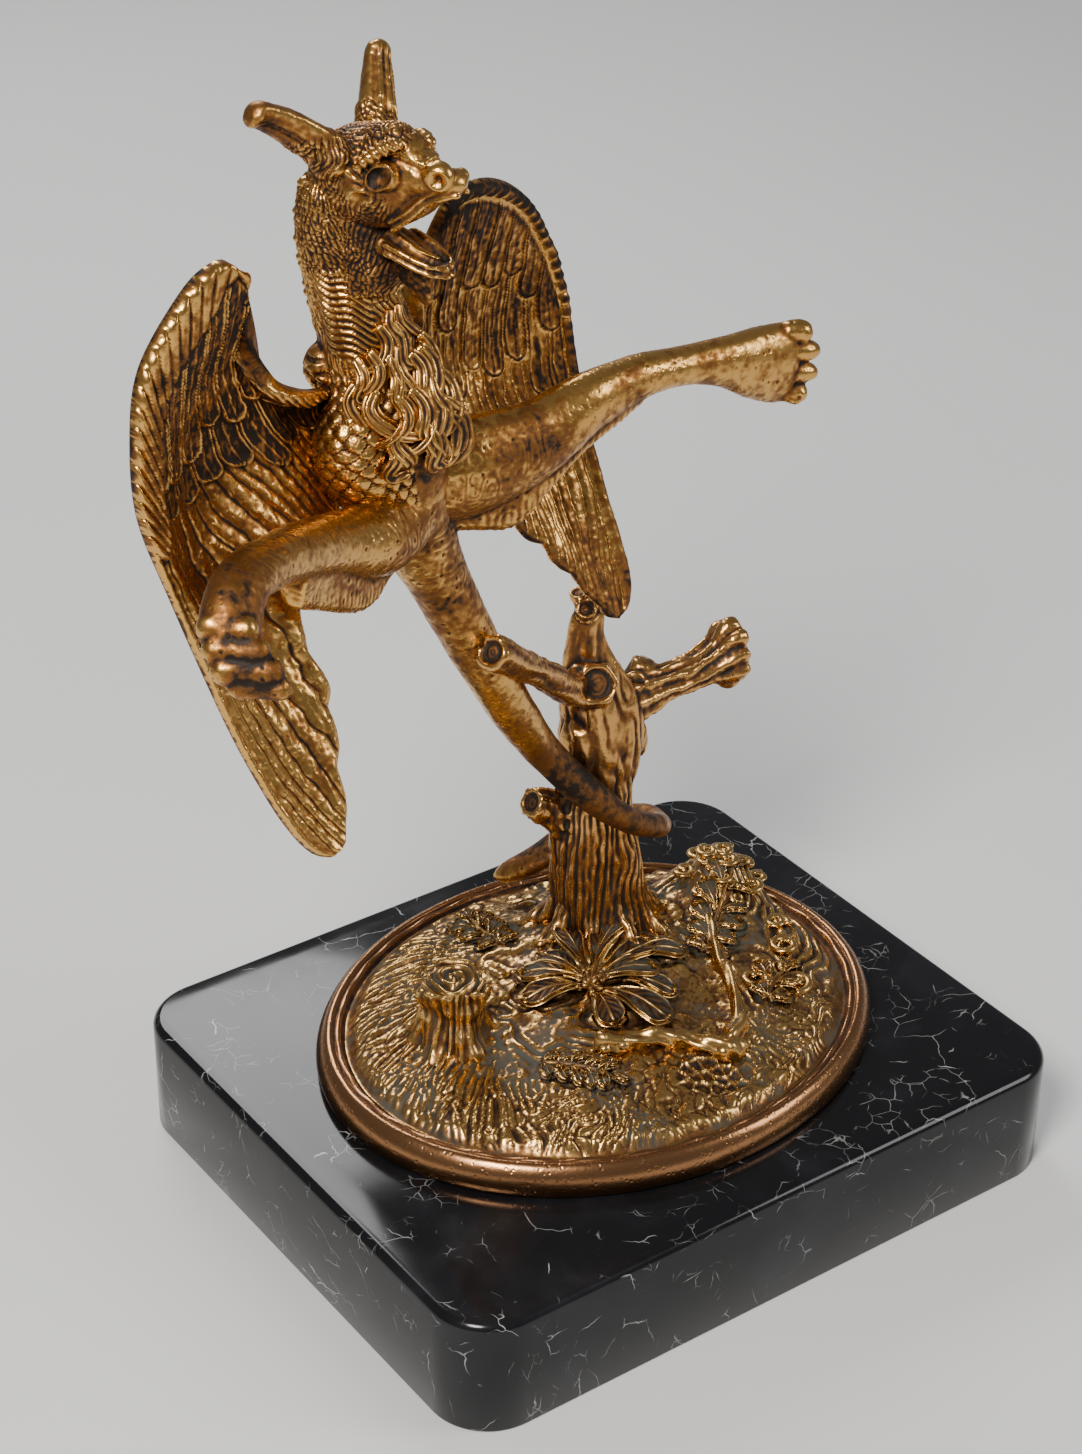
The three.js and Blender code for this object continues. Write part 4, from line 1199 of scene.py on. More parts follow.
def ground_relief(x, y):
    """Relief of the ground: grass, honeycomb, pebbles, curls and ripples, each in its own part."""
    flat = np.stack([x, y], -1)
    drift = flat + 2.4 * np.stack([noise(flat, 9, 1), noise(flat, 9, 2)], -1)
    turn = np.arctan2(y / OVAL_HALF[1], x / OVAL_HALF[0])
    reach = np.hypot(x / OVAL_HALF[0], y / OVAL_HALF[1])
    around, inward = turn * 64, (1 - reach) * 64
    # Parts, each from 0 to 1, seen as on a clock face with the viewer at the lower left.
    front = band(turn, -2.35, -0.62, 0.12) * ramp(reach, 0.56, 0.66)
    left = ramp(np.abs(turn), 2.3, 2.55) * ramp(reach, 0.5, 0.62)
    left = np.maximum(left, band(turn, 1.9, 2.6, 0.2) * ramp(reach, 0.5, 0.62))
    right = band(turn, -0.58, 0.55, 0.12) * ramp(reach, 0.66, 0.74)
    comb = hill(x, y, (1, -45), 9) + hill(x, y, (10, -47), 7)
    comb = ramp(comb, 0.45, 0.75)
    pool = np.exp(-(((x - POOL["x"] - 2) / 11.5) ** 4 + ((y - POOL["y"]) / 11) ** 4))
    water = ramp(hill(x, y, (-17, -22), 12), 0.5, 0.8)
    middle = (1 - front) * (1 - left) * (1 - right)
    # Pebbles and curls of moss.
    near, _, number = cells(drift, 4.4, 3)
    pebbles = np.sqrt(np.maximum(0, 1 - (near / 0.62) ** 2)) * (0.5 + number)
    moss = 0.5 + 0.5 * swirls(drift, 7.0, 1.7, 12)
    some = ramp(noise(flat, 13, 14), -0.4, 0.1)
    relief = middle * (0.9 * pebbles * some + 0.9 * moss * (1 - some))
    # Long blades of grass, curling over at their tips.
    lean = 3.0 * np.sin(inward / 4.5 + 3 * noise(flat, 10, 33))
    fine_grass = tufts(around + lean, -inward, 2.3, 8.5, 31, 1.2)
    broad_grass = tufts(around - 1.4 * lean, -inward, 5.0, 12.0, 35, 1.0)
    broad_grass = 0.6 * broad_grass + 0.55 * band(broad_grass, 0.22, 0.42, 0.1)
    coarse = ramp(noise(flat, 15, 39), -0.5, -0.2)
    grass = fine_grass * (1 - coarse) + 1.25 * broad_grass * coarse
    relief = relief + front * (1 - comb) * 1.9 * grass * (0.8 + 0.4 * noise(flat, 7, 43))
    leaning = tufts(around + 0.8 * inward, -inward, 3.3, 10.0, 41, 1.3)
    relief = relief + left * 1.8 * leaning * (0.8 + 0.5 * noise(flat, 8, 45))
    # Ripples that follow the rim on the right, broken by curls.
    ripples = 0.5 + 0.5 * np.cos(2 * math.pi * (inward + 0.35 * around + 3.4 * noise(flat, 8, 6)) / 2.9)
    broken = ramp(noise(flat, 7, 16), -0.6, -0.1)
    relief = relief + right * (1.5 * ripples * broken + 0.9 * moss * (1 - broken))
    comb_near, comb_after, _ = cells(flat, 3.7, 21)
    honey = 1 - ramp(comb_after - comb_near, 0.05, 0.24)
    relief = relief * (1 - comb) + comb * 1.3 * honey
    lines = 0.4 * np.cos(2 * math.pi * (x + y + 2 * noise(flat, 9, 61)) / 4.2)
    relief = relief * (1 - water) + water * lines
    relief = relief * (1 - pool) - 1.0 * pool
    pits = ramp(cells(flat, 2.0, 51)[0], 0.1, 0.3) - 1
    return relief + 0.14 * noise(flat, 1.2, 7) + 0.7 * noise(flat, 5.5, 9) + 0.12 * pits


def make_ground():
    """The leafy ground inside the rim, closed below."""
    piece = grid("ground", GROUND_CELLS, GROUND_CELLS)
    s = unit_points(piece)[:, :2]
    x = s[:, 0] * np.sqrt(1 - s[:, 1] ** 2 / 2) * OVAL_HALF[0] * GROUND_EDGE
    y = s[:, 1] * np.sqrt(1 - s[:, 0] ** 2 / 2) * OVAL_HALF[1] * GROUND_EDGE
    reach = np.hypot(x / OVAL_HALF[0], y / OVAL_HALF[1]) / GROUND_EDGE
    inner = 1 - ramp(reach, 0.93, 1.0)
    level = ground_height(x, y) * inner + (OVAL_FLOOR + 7.2) * (1 - inner)
    set_points(piece, np.stack([x, y, level + ground_relief(x, y) * (1 - ramp(reach, 0.935, 0.985))], -1))
    edit_border(piece)
    bpy.ops.mesh.extrude_region_move(TRANSFORM_OT_translate={"value": (0, 0, -GROUND_DEPTH * MM)})
    bpy.ops.transform.resize(value=(1, 1, 0))
    bpy.ops.mesh.edge_face_add()
    leave_edit()
    points = points_of(piece)
    mark_hollows(piece, stain_and_painted_light=0.06 + 0.26 * noise(points, 13, 23) + 0.16 * noise(points, 4, 24))
    return piece


def make_leaf(start, end, half_width, lift, seed, thickness=1.4, lobes=0.0, fine=(34, 40)):
    """A spoon-shaped leaf with a thin raised outline, a midrib and slanting veins, lying on the ground."""
    piece = grid("leaf", *fine)
    s = grid_shares(piece)
    across, q = 2 * s[:, 0] - 1, s[:, 1]
    start, end = np.asarray(start), np.asarray(end)
    along = end - start
    side = unit(np.cross(along, UP))
    shape = np.sin(math.pi * np.clip(q, 0, 1) ** 2.3) ** 0.5
    width = half_width * np.maximum(shape, 0.12 * (1 - q) + 0.02)
    width = width * (1 + lobes * np.cos(2 * math.pi * 4.5 * q)) * (1 + 0.03 * np.sin(19 * q + seed))
    sway = 0.16 * half_width * np.sin(2.8 * q + seed)
    edge = np.abs(across)
    outline = 0.6 * np.exp(-(((edge - 0.92) / 0.07) ** 2)) * ramp(q, 0.05, 0.2)
    rib = 0.55 * np.exp(-((across / 0.07) ** 2)) * (1 - ramp(q, 0.86, 0.97))
    veins = 0.16 * np.cos(2 * math.pi * (5.5 * q - 1.8 * edge))
    veins = veins * band(edge, 0.15, 0.75, 0.1) * ramp(q, 0.2, 0.4)
    tip = 0.5 * ramp(q, 0.9, 0.98) * (1 - outline)
    cup = (0.25 + 0.25 * math.sin(2.3 * seed)) * edge**2
    height = lift * np.sin(math.pi * q) + cup + outline + rib + veins + tip
    place = start + along * q[:, None] + side * (across * width + sway)[:, None] + UP * height[:, None]
    set_points(piece, place)
    dark = 0.75 * band(edge, 0.12, 0.84, 0.06) * ramp(q, 0.04, 0.15) * (1 - ramp(q, 0.93, 0.98))
    mark_hollows(piece, 0.12, 0.6, stain_and_painted_light=dark - 0.75 * (outline + 0.6 * rib) + 0.15 * scatter(seed, seed=3))
    use_modifier(piece, "SOLIDIFY", thickness=thickness * MM, offset=-1)
    face_outwards(piece)
    return piece


# Leaves of the cluster: where each starts and ends on the ground, half-width and lift
CLUSTER = [
    (-7, -2, -23, 3, 4.0, 0.0), (-6, -1, -17, 13, 3.8, 0.8), (-5, 0, -7, 16, 3.6, 0.2),
    (-3, 1, 3, 20, 3.4, 1.0), (-1, 0, 13, 13, 3.6, 0.4), (3, 4, 20, 15, 3.4, 1.2),
    (-1, -2, 20, 2, 3.8, 0.9), (12, 1, 27, -4, 3.4, 0.2), (13, 8, 27, 17, 3.2, 0.0),
    (-3, -4, 14, -8, 4.4, 1.8), (-4, -8, 5, -26, 4.8, 1.2), (-7, -7, -8, -20, 3.9, 0.4),
    (4, -6, 15, -16, 3.4, 0.2),
]
CLUSTER_STEMS = ([(-4, -3), (5, 2), (14, 6)], [(-4, -4), (6, -3), (15, -2)])
# Fallen wood: place on the ground, height above it and radius
BOUGH = [
    (-17.5, -22, 1.4, 2.6), (-15, -24.5, 2.2, 3.4), (-9, -27, 2.2, 2.5), (-2, -29.5, 2.2, 2.6),
    (3.5, -33.5, 2.2, 2.4), (8, -38.5, 2.2, 2.6), (12.5, -42, 2.2, 3.6), (15.5, -45.5, 1.6, 2.8),
]
TWIG = [
    (13, -41, 2, 2.4), (19.5, -37, 2.2, 2.7), (24, -32, 2.2, 1.8), (30, -21, 2.2, 1.6), (34, -11, 2, 2.0),
    (38, -3, 2, 1.5), (44, 7, 1.6, 1.3),
]
KNOBS = [
    (-12, -27.5, 2.2), (-17, -26, 2.0), (10.5, -42.5, 2.4), (16, -43, 2.2), (21.5, -36.5, 2.3),
    (33, -14, 1.8),
]
# Sprigs: place, heading, pairs of leaves, length and half-width of a leaf
SPRAYS = [
    (33, -6, 0.62, 5, 31, 3.2), (-12, 30, 1.35, 3, 18, 3.0), (-33, -20, -0.9, 5, 18, 1.7),
    (36, -30, 0.5, 2, 14, 2.8),
]
KNOLL_SCROLLS = 14
SCROLLS = ((48, -27, 4.6), (39, -22, 4.0), (57, -12, 4.4), (62, -2, 3.6), (-30, 26, 3.6))


def leaf_spray(x, y, middle_turn, leaves, reach, half_width, seed):
    """A sprig: a bent stem with leaves on both sides and one at its end."""
    heading = np.array([math.cos(middle_turn), math.sin(middle_turn)])
    beside = np.array([-heading[1], heading[0]])
    parts = []
    stem = []
    for k in range(leaves + 1):
        q = k / leaves
        spot = np.array([x, y]) + heading * reach * q + beside * 1.6 * math.sin(2.4 * q)
        stem.append((*on_ground(*spot, 1.8), 0.95 - 0.4 * q))
        for side in (-1, 1) if k < leaves else (0,):
            turn = middle_turn + side * 0.85
            size = (0.75 + 0.35 * math.sin(math.pi * q)) * (5 + 0.5 * reach / leaves)
            end = spot + size * np.array([math.cos(turn), math.sin(turn)])
            seeds = seed + k + side
            start, end = on_ground(*spot, 1.6), on_ground(*end, 1.5)
            parts.append(make_leaf(start, end, half_width, 1.2, seeds, lobes=0.08, fine=(20, 24)))
    parts.append(strand("stem", stem, UP, 12, 60))
    return parts


def knotty(t, turn):
    return 1 + 0.2 * np.sin(27 * t) * np.cos(turn - 9 * t) + 0.13 * np.cos(4 * turn + 17 * t)


def make_undergrowth():
    """Leaves in a cluster and in sprigs, their stems, scrolls, the fallen twig and the bough."""
    parts = []
    for i, (x, y, far_x, far_y, half_width, lift) in enumerate(CLUSTER):
        start, end = on_ground(x, y, 2.4 + lift), on_ground(far_x, far_y, 1.6 + lift)
        parts.append(make_leaf(start, end, 1.12 * half_width, 2.0, i))
        parts.append(strand("stem", [(*on_ground(-5, -3, 1.8), 0.9), (*start, 0.9)], UP, 10, 12))
    for k, (x, y, turn, leaves, reach, half_width) in enumerate(SPRAYS):
        parts += leaf_spray(x, y, turn, leaves, reach, half_width, 7 * k)
    for stem in CLUSTER_STEMS:
        parts.append(strand("stem", [(*on_ground(x, y, 2.4), 1.0) for x, y in stem], UP, 12, 40))
    for name, line in (("bough", BOUGH), ("twig", TWIG)):
        piece = strand(name, [(*on_ground(x, y, h), r) for x, y, h, r in line], UP, 30, 130, knotty)
        mark_hollows(piece, 0.12, 0.6, stain_and_painted_light=-0.15 + 0.3 * noise(points_of(piece), 4, 3))
        parts.append(piece)
    for x, y, size in KNOBS:
        piece = boss("knob", on_ground(x, y, 2.6), (size, size, size * 0.9))
        mark_hollows(piece, 0.12, 0.6, stain_and_painted_light=-0.2)
        parts.append(piece)
    for i in range(KNOLL_SCROLLS):
        turn, reach = 2.4 * i, 2.2 + 0.85 * i
        x, y = KNOLL["x"] + reach * math.cos(turn), KNOLL["y"] + reach * math.sin(turn)
        parts.append(make_scroll(x, y, 2.9, i))
    for x, y, size in SCROLLS:
        parts.append(make_scroll(x, y, size, x))
    piece = join("undergrowth", parts)
    thin_to(piece, MOST_SHEET_TRIANGLES)
    return piece


def make_scroll(x, y, size, seed):
    """A small leaf rolled up to a spiral, lying on the ground."""
    middle = on_ground(x, y, 0.8)
    stations = []
    for k in range(15):
        q = k / 14
        turn = seed + 2.6 * math.pi * q
        radius = size * (1 - 0.78 * q)
        spot = middle + np.array([radius * math.cos(turn), radius * math.sin(turn), 0.35 * q * size])
        stations.append((*spot, 0.26 * size * (1 - 0.4 * q), 1.3 * (1 - 0.3 * q)))
    piece = strand("scroll", stations, UP, 12, 60)
    mark_hollows(piece, 0.12, 0.6, stain_and_painted_light=-0.1)
    return piece


def bark_relief(points, length_scale, seed):
    """Long broken ridges that run up the trunk."""
    bent = points + 1.8 * np.stack([noise(points, 10, seed + k) for k in range(3)], -1)
    turn = np.arctan2(bent[:, 1] - TRUNK_FOOT[1], bent[:, 0] - TRUNK_FOOT[0])
    wander = 2.6 * noise(points * np.array([1, 1, 0.6]), 9, seed + 4)
    wave = np.cos(41 * turn + 0.10 * bent[:, 2] + wander) + 0.8 * np.cos(26 * turn - 1.4 * wander)
    ridges = 0.26 * wave + 0.7 * noise(bent * np.array([1, 1, length_scale]), 2.2, seed + 5)
    fine = noise(bent * np.array([1, 1, 0.3]), 1.0, seed + 8)
    return ridges, fine


def long_bark(ridges, size, seed):
    """Relief for a branch: ridges along it that wander, merge and break."""

    def relief(t, turn):
        flat = np.stack([turn * 2.2 + 0.5 * np.sin(6 * t + seed), 14 * t], -1)
        wave = np.cos(ridges * turn + 1.6 * np.sin(5 * t + seed) + 1.5 * noise(flat, 2.2, seed))
        return 1 + size * wave + 0.8 * size * noise(flat, 1.1, seed + 3) + 0.03 * np.sin(9 * t + seed)

    return relief


TRUNK = [
    (18, 22, 46, 17, 16), (17.4, 22, 58, 13.8, 13.2), (15.5, 22, 74, 12.4, 12.2), (13.8, 22, 90, 11.4, 11),
    (14.6, 22, 100, 9.8, 9.8), (15.8, 22, 110, 11.4, 11), (15.6, 22, 120, 11.4, 11), (13, 22, 131, 9.4, 9.4),
    (10.4, 22, 141, 6.6, 6.6), (9.8, 22, 148, 5.2, 5.2), (10.2, 22, 153, 4.6, 4.6),
    (10.4, 22, 156.5, 2.8, 2.8),
]
BRANCHES = {
    "left_branch": [
        (9, 18, 136, 6), (-3, 11, 141, 4.6), (-17, 5, 153, 4.0), (-30, -0.5, 164, 4.0),
        (-37, -2.4, 169.3, 4.6), (-38.4, -2.8, 170.3, 4.3),
    ],
    "right_branch": [
        (12, 22, 122, 8), (25, 21, 124, 6.4), (41, 20, 125.5, 5.0), (51, 19.5, 127, 6.0),
        (57, 19, 128, 7.6), (59.4, 19, 128.3, 6.8),
    ],
    "knot": [(10, 20, 133, 7), (6.5, 13, 138, 6.2), (4.2, 9, 140.8, 6.2), (3.7, 8.0, 141.4, 5.6)],
    "low_stub": [(8, 24, 90, 7), (1, 25.4, 94.6, 5.0), (-3.6, 25.6, 97.6, 4.4), (-5.2, 25.6, 98.6, 3.9)],
    "right_stub": [(27, 23, 124, 5), (31, 24, 130, 3.9), (32, 24, 132, 3.2)],
}
# Cut ends: middle, direction out of the wood, radius and depth of the hollow
CUT_ENDS = [
    ((-38.8, -3.0, 170.6), (-0.8, -0.27, 0.55), 4.2, 1.5),
    ((3.4, 7.4, 141.6), (-0.45, -0.78, 0.44), 5.7, 1.3),
    ((-5.7, 25.6, 99.0), (-0.88, 0.0, 0.5), 3.9, 0.7),
    ((8.0, 19.4, 157.8), (-0.35, -0.55, 0.75), 2.9, 0.9),
    ((9.0, 24.4, 160.4), (-0.25, 0.0, 0.97), 2.6, 0.8),
    ((13.0, 19.8, 159.6), (0.3, -0.35, 0.88), 2.7, 0.8),
    ((13.4, 24.8, 158.8), (0.3, 0.3, 0.9), 2.4, 0.7),
]
# Knuckles of the ragged right end: y, z and size
KNUCKLES = [
    (15.2, 134.6, 2.5), (19, 136.2, 2.9), (23, 134, 2.4), (14.4, 129.6, 2.3), (15, 124, 2.6),
    (18.6, 120.4, 2.9),
    (23, 122, 2.3), (24.6, 128, 2.4), (19.6, 128.4, 3.0),
]


def trunk_shape(t, turn):
    return 1 + 0.06 * np.sin(5 * turn + 2.5 * t) + 0.04 * np.sin(3 * turn - 9 * t)


def make_tree():
    """The trunk with roots, burls and cut branches, its bark deeply grooved below and smoother above."""
    parts = [
        strand("trunk", TRUNK, LEFTWARD, 60, 130, trunk_shape, 0.02),
        strand("left_branch", BRANCHES["left_branch"], UP, 48, 120, long_bark(5, 0.07, 1), 0.015),
        strand("right_branch", BRANCHES["right_branch"], UP, 60, 140, long_bark(9, 0.11, 5), 0.02),
        strand("knot", BRANCHES["knot"], UP, 6, 40, None, 0.02),
        strand("low_stub", BRANCHES["low_stub"], UP, 40, 50, long_bark(7, 0.08, 9), 0.02),
        strand("right_stub", BRANCHES["right_stub"], LEFTWARD, 20, 30, None, 0.03),
        boss("left_burl", (9, 20, 117), (7.5, 6.6, 9)),
        boss("right_burl", (25.4, 22, 111), (4.4, 5.6, 7.6)),
    ]
    for (x, y, z), out, size, _ in CUT_ENDS[3:]:
        end, out = np.array([x, y, z]), unit(np.array(out))
        stations = [
            (10.4, 22, 147, 3), (*(end - 5.5 * out), 2.4), (*(end - 1.5 * out), size), (*end, size * 0.95)
        ]
        parts.append(strand("top_stub", stations, LEFTWARD, 20, 30, None, 0.02))
    for k, (y, z, size) in enumerate(KNUCKLES):
        x = 59.6 + 1.0 * math.sin(3 * k)
        stations = [
            (50, 19.5, 127.4, 2), (x - 4.5, y, z, size * 0.8), (x - 1.5, y, z, size), (x, y, z, size * 0.7)
        ]
        parts.append(strand("knuckle", stations, UP, 16, 26))
    for i in range(9):
        turn = i / 9 * 2 * math.pi + 0.4
        reach = 21 + 4 * math.sin(2.3 * i)
        spots = []
        for distance, lift, size in ((6, 13, 3.8), (12, 3.0, 3.6), (reach, -0.8, 1.8)):
            x, y = TRUNK_FOOT[0] + distance * math.cos(turn), TRUNK_FOOT[1] + distance * math.sin(turn)
            spots.append((*on_ground(x, y, lift), size))
        parts.append(strand("root", spots, UP, 20, 40))
    piece = join("tree", parts)
    weld(piece, TREE_CELL, smooth=2)
    stain_and_painted_light = carve_tree(piece)
    mark_hollows(piece, stain_and_painted_light=stain_and_painted_light)
    thin_to(piece, MOST_TRIANGLES)
    return piece


def carve_tree(piece):
    """Carve bark, burls and cut ends, and give back the stain of each corner."""
    points = points_of(piece)
    normals = normals_of(piece)
    x, y, z = points.T
    ridges, fine = bark_relief(points, 0.14, 3)
    from_trunk = np.hypot(x - 14.5, y - 22)
    low = (1 - ramp(z, 96, 108)) * (1 - 0.4 * ramp(-x, -2, 4) * ramp(z, 88, 94))
    branch = ramp(from_trunk, 13, 17) * ramp(z, 110, 116)
    cut = np.zeros(len(points))
    hollow = np.zeros(len(points))
    for middle, out, radius, deep in CUT_ENDS:
        out = unit(np.asarray(out))
        gap = points - np.asarray(middle)
        height = gap @ out
        from_axis = np.linalg.norm(gap - out * height[:, None], axis=1)
        face = ramp(normals @ out, 0.4, 0.7) * (np.abs(height) < 3.0) * (from_axis < radius * 1.25)
        cut = np.maximum(cut, face)
        grain = 0.06 * np.cos(5.0 * from_axis + 3 * noise(points, 3, 8))
        hollow -= face * (deep * (1 - ramp(from_axis, radius * 0.66, radius * 0.8)) - grain)
    veined = swirls(points * np.array([1, 1, 0.4]), 6, 1.7, 13)
    knots = 1 - ramp(cells(points * np.array([1, 1, 0.6]), 9, 17)[0], 0.1, 0.3)
    upper = (1 - low) * (1 - branch)
    smoother = 0.22 * veined + 0.14 * fine + 0.35 * knots + 0.3 * noise(points, 5, 2)
    rough = low * (0.85 * ridges + 0.3 * fine) + upper * smoother
    rough = rough + branch * (0.14 * noise(points, 1.0, 7) + 0.25 * noise(points, 3.5, 9))
    push(piece, rough * (1 - cut) + hollow)
    left = ramp(-x, -4, 8) * ramp(z, 130, 138)
    stain_and_painted_light = 0.22 * low - 0.16 * branch + 0.3 * left + 0.16 * noise(points, 14, 5) + 0.1 * upper
    sunk, flush = ramp(-hollow, 0.3, 0.8), 1 - ramp(-hollow, 0.1, 0.4)
    return stain_and_painted_light * (1 - 0.5 * cut) + 0.4 * sunk - 0.25 * cut * flush


def stump_shape(t, turn):
    return 1 + 0.10 * np.sin(3 * turn + 4 * t) + 0.06 * np.sin(5 * turn - 5 * t)


def make_stump():
    """The low broad stump on the left, with fibrous flaring sides and a swirled top."""
    x, y, z = STUMP
    stations = [
        (x, y, z - 4, 16.5), (x, y, z + 3, 12), (x - 0.3, y, z + 8, 9.6), (x - 0.5, y, z + 14, 8.0),
        (x - 0.8, y - 0.6, z + 19, 8.4), (x - 1, y - 1, z + 22.6, 8.2), (x - 1.1, y - 1.2, z + 24.4, 6.4),
    ]
    piece = strand("stump", stations, LEFTWARD, 60, 60, stump_shape, 0.02)
    weld(piece, STUMP_CELL, smooth=1)
    points = points_of(piece)
    high = points[:, 2] - z
    away = points - np.array([x - 1.1, y - 1.2, 0])
    radius = np.hypot(away[:, 0], away[:, 1])
    turn = np.arctan2(away[:, 1], away[:, 0])
    top = ramp(normals_of(piece)[:, 2], 0.5, 0.8) * ramp(high, 19, 21)
    wander = 3.2 * noise(points * np.array([1, 1, 0.6]), 7, 3)
    fibres = np.cos(13 * turn + 0.15 * high + wander) + 0.8 * np.cos(23 * turn + 1.5 * wander)
    ring = radius / 2.5 + turn / (2 * math.pi) + 0.6 * noise(points, 4, 9)
    swirl = np.cos(2 * math.pi * ring) + 0.5 * np.cos(3 * turn)
    lumps = noise(points, 3.6, 8)
    dimple = 0.5 * (1 - ramp(radius, 1, 3))
    push(piece, (1 - top) * (0.28 * fibres + 0.9 * lumps) + top * (0.62 * swirl - dimple))
    mark_hollows(piece, 0.12, 0.6, stain_and_painted_light=0.1 * (1 - top) + 0.2 * noise(points, 9, 7))
    return piece


def make_plinth(corner, edge):
    """A block with rounded corners, a softened upper edge and a barely broken lower edge."""
    middle = (PLINTH_LOW + PLINTH_HIGH) / 2
    extent = PLINTH_HIGH - PLINTH_LOW
    deselect()
    bpy.ops.mesh.primitive_cube_add(size=1, location=middle * MM, scale=extent * MM)
    bpy.ops.object.transform_apply(location=True, rotation=True, scale=True)
    piece = bpy.context.object
    piece.name = "plinth"
    bevel_edges(piece, "upright", corner, segments=24)
    bevel_edges(piece, "top", edge, segments=5, profile=0.42)
    bevel_edges(piece, "bottom", BOTTOM_EDGE, segments=2)
    face_outwards(piece)
    return piece


def edge_kind(a, b):
    """Where an edge of the plinth lies, from the heights of its ends."""
    if abs(a - b) > 1:
        return "upright"
    if min(a, b) > PLINTH_HIGH[2] - 0.01:
        return "top"
    if max(a, b) < PLINTH_LOW[2] + 0.01:
        return "bottom"
    return "between"


def bevel_edges(piece, kind, size, **settings):
    """Bevel all edges of one kind by a size in millimetres."""
    bpy.ops.object.mode_set(mode="EDIT")
    bpy.ops.mesh.select_all(action="DESELECT")
    bpy.ops.object.mode_set(mode="OBJECT")
    mesh = piece.data
    bpy.context.tool_settings.mesh_select_mode = (False, True, False)
    for edge in mesh.edges:
        ends = [mesh.vertices[i] for i in edge.vertices]
        if edge_kind(*(end.co.z / MM for end in ends)) == kind:
            edge.select = True
            for end in ends:
                end.select = True
    mesh.update()
    bpy.ops.object.mode_set(mode="EDIT")
    bpy.ops.mesh.bevel(offset=size * MM, **settings)
    bpy.ops.object.mode_set(mode="OBJECT")


# Materials
PLAIN_DEPOSIT = (0.2, 0.22, 0.19)
# Veins of the marble, from broad to fine: scale, width, shift of their breaks and strength
VEINS = (
    (13.0, 0.0030, 0.2, 0.8),
    (36.0, 0.005, 3.1, 0.6),
    (84.0, 0.012, 6.4, 0.45),
    (170.0, 0.03, 9.7, 0.3),
)


PATINA_SOCKETS = (
    ("INPUT", "Color", ("Bright", "Middle", "Dark", "Deposit")),
    ("INPUT", "Float", ("Deposit amount", "Unevenness", "Darkness")),
    ("OUTPUT", "Color", ("Color",)),
    ("OUTPUT", "Float", ("Roughness", "Metallic", "Height")),
)


def place_node(tree, kind, inputs=None, **settings):
    """A new node whose inputs are linked to sockets or set to values."""
    node = tree.nodes.new(kind)
    for key, value in settings.items():
        setattr(node, key, value)
    for key, value in (inputs or {}).items():
        if isinstance(value, bpy.types.NodeSocket):
            tree.links.new(value, node.inputs[key])
        else:
            node.inputs[key].default_value = value
    return node


def start_material(name):
    """The material of that name, emptied, and its node tree."""
    material = bpy.data.materials.get(name) or bpy.data.materials.new(name)
    material.use_nodes = True
    material.node_tree.nodes.clear()
    return material, material.node_tree


def end_material(tree, inputs):
    """The shader and the output, with the finish given by the shader's inputs."""
    shader = place_node(tree, "ShaderNodeBsdfPrincipled", inputs)
    out = tree.nodes.new("ShaderNodeOutputMaterial")
    tree.links.new(shader.outputs[0], out.inputs[0])


def clouds(tree, where, scale, detail, roughness=0.5, output="Fac"):
    """Noise from 0 to 1, finer at a larger scale."""
    inputs = {"Vector": where, "Scale": scale, "Detail": detail, "Roughness": roughness}
    return place_node(tree, "ShaderNodeTexNoise", inputs).outputs[output]


def span(tree, value, low, high, start=0.0, end=1.0):
    """Smoothly from start at low to end at high."""
    inputs = {"Value": value, "From Min": low, "From Max": high, "To Min": start, "To Max": end}
    return place_node(tree, "ShaderNodeMapRange", inputs, interpolation_type="SMOOTHSTEP").outputs["Result"]


def combine(tree, kind, a, b):
    """ADD, SUBTRACT, MULTIPLY or MAXIMUM of two values."""
    return place_node(tree, "ShaderNodeMath", {0: a, 1: b}, operation=kind).outputs[0]


def mix(tree, mask, first, second):
    """The first colour where the mask is 0 and the second where it is 1."""
    return place_node(tree, "ShaderNodeMix", {0: mask, 6: first, 7: second}, data_type="RGBA").outputs[2]


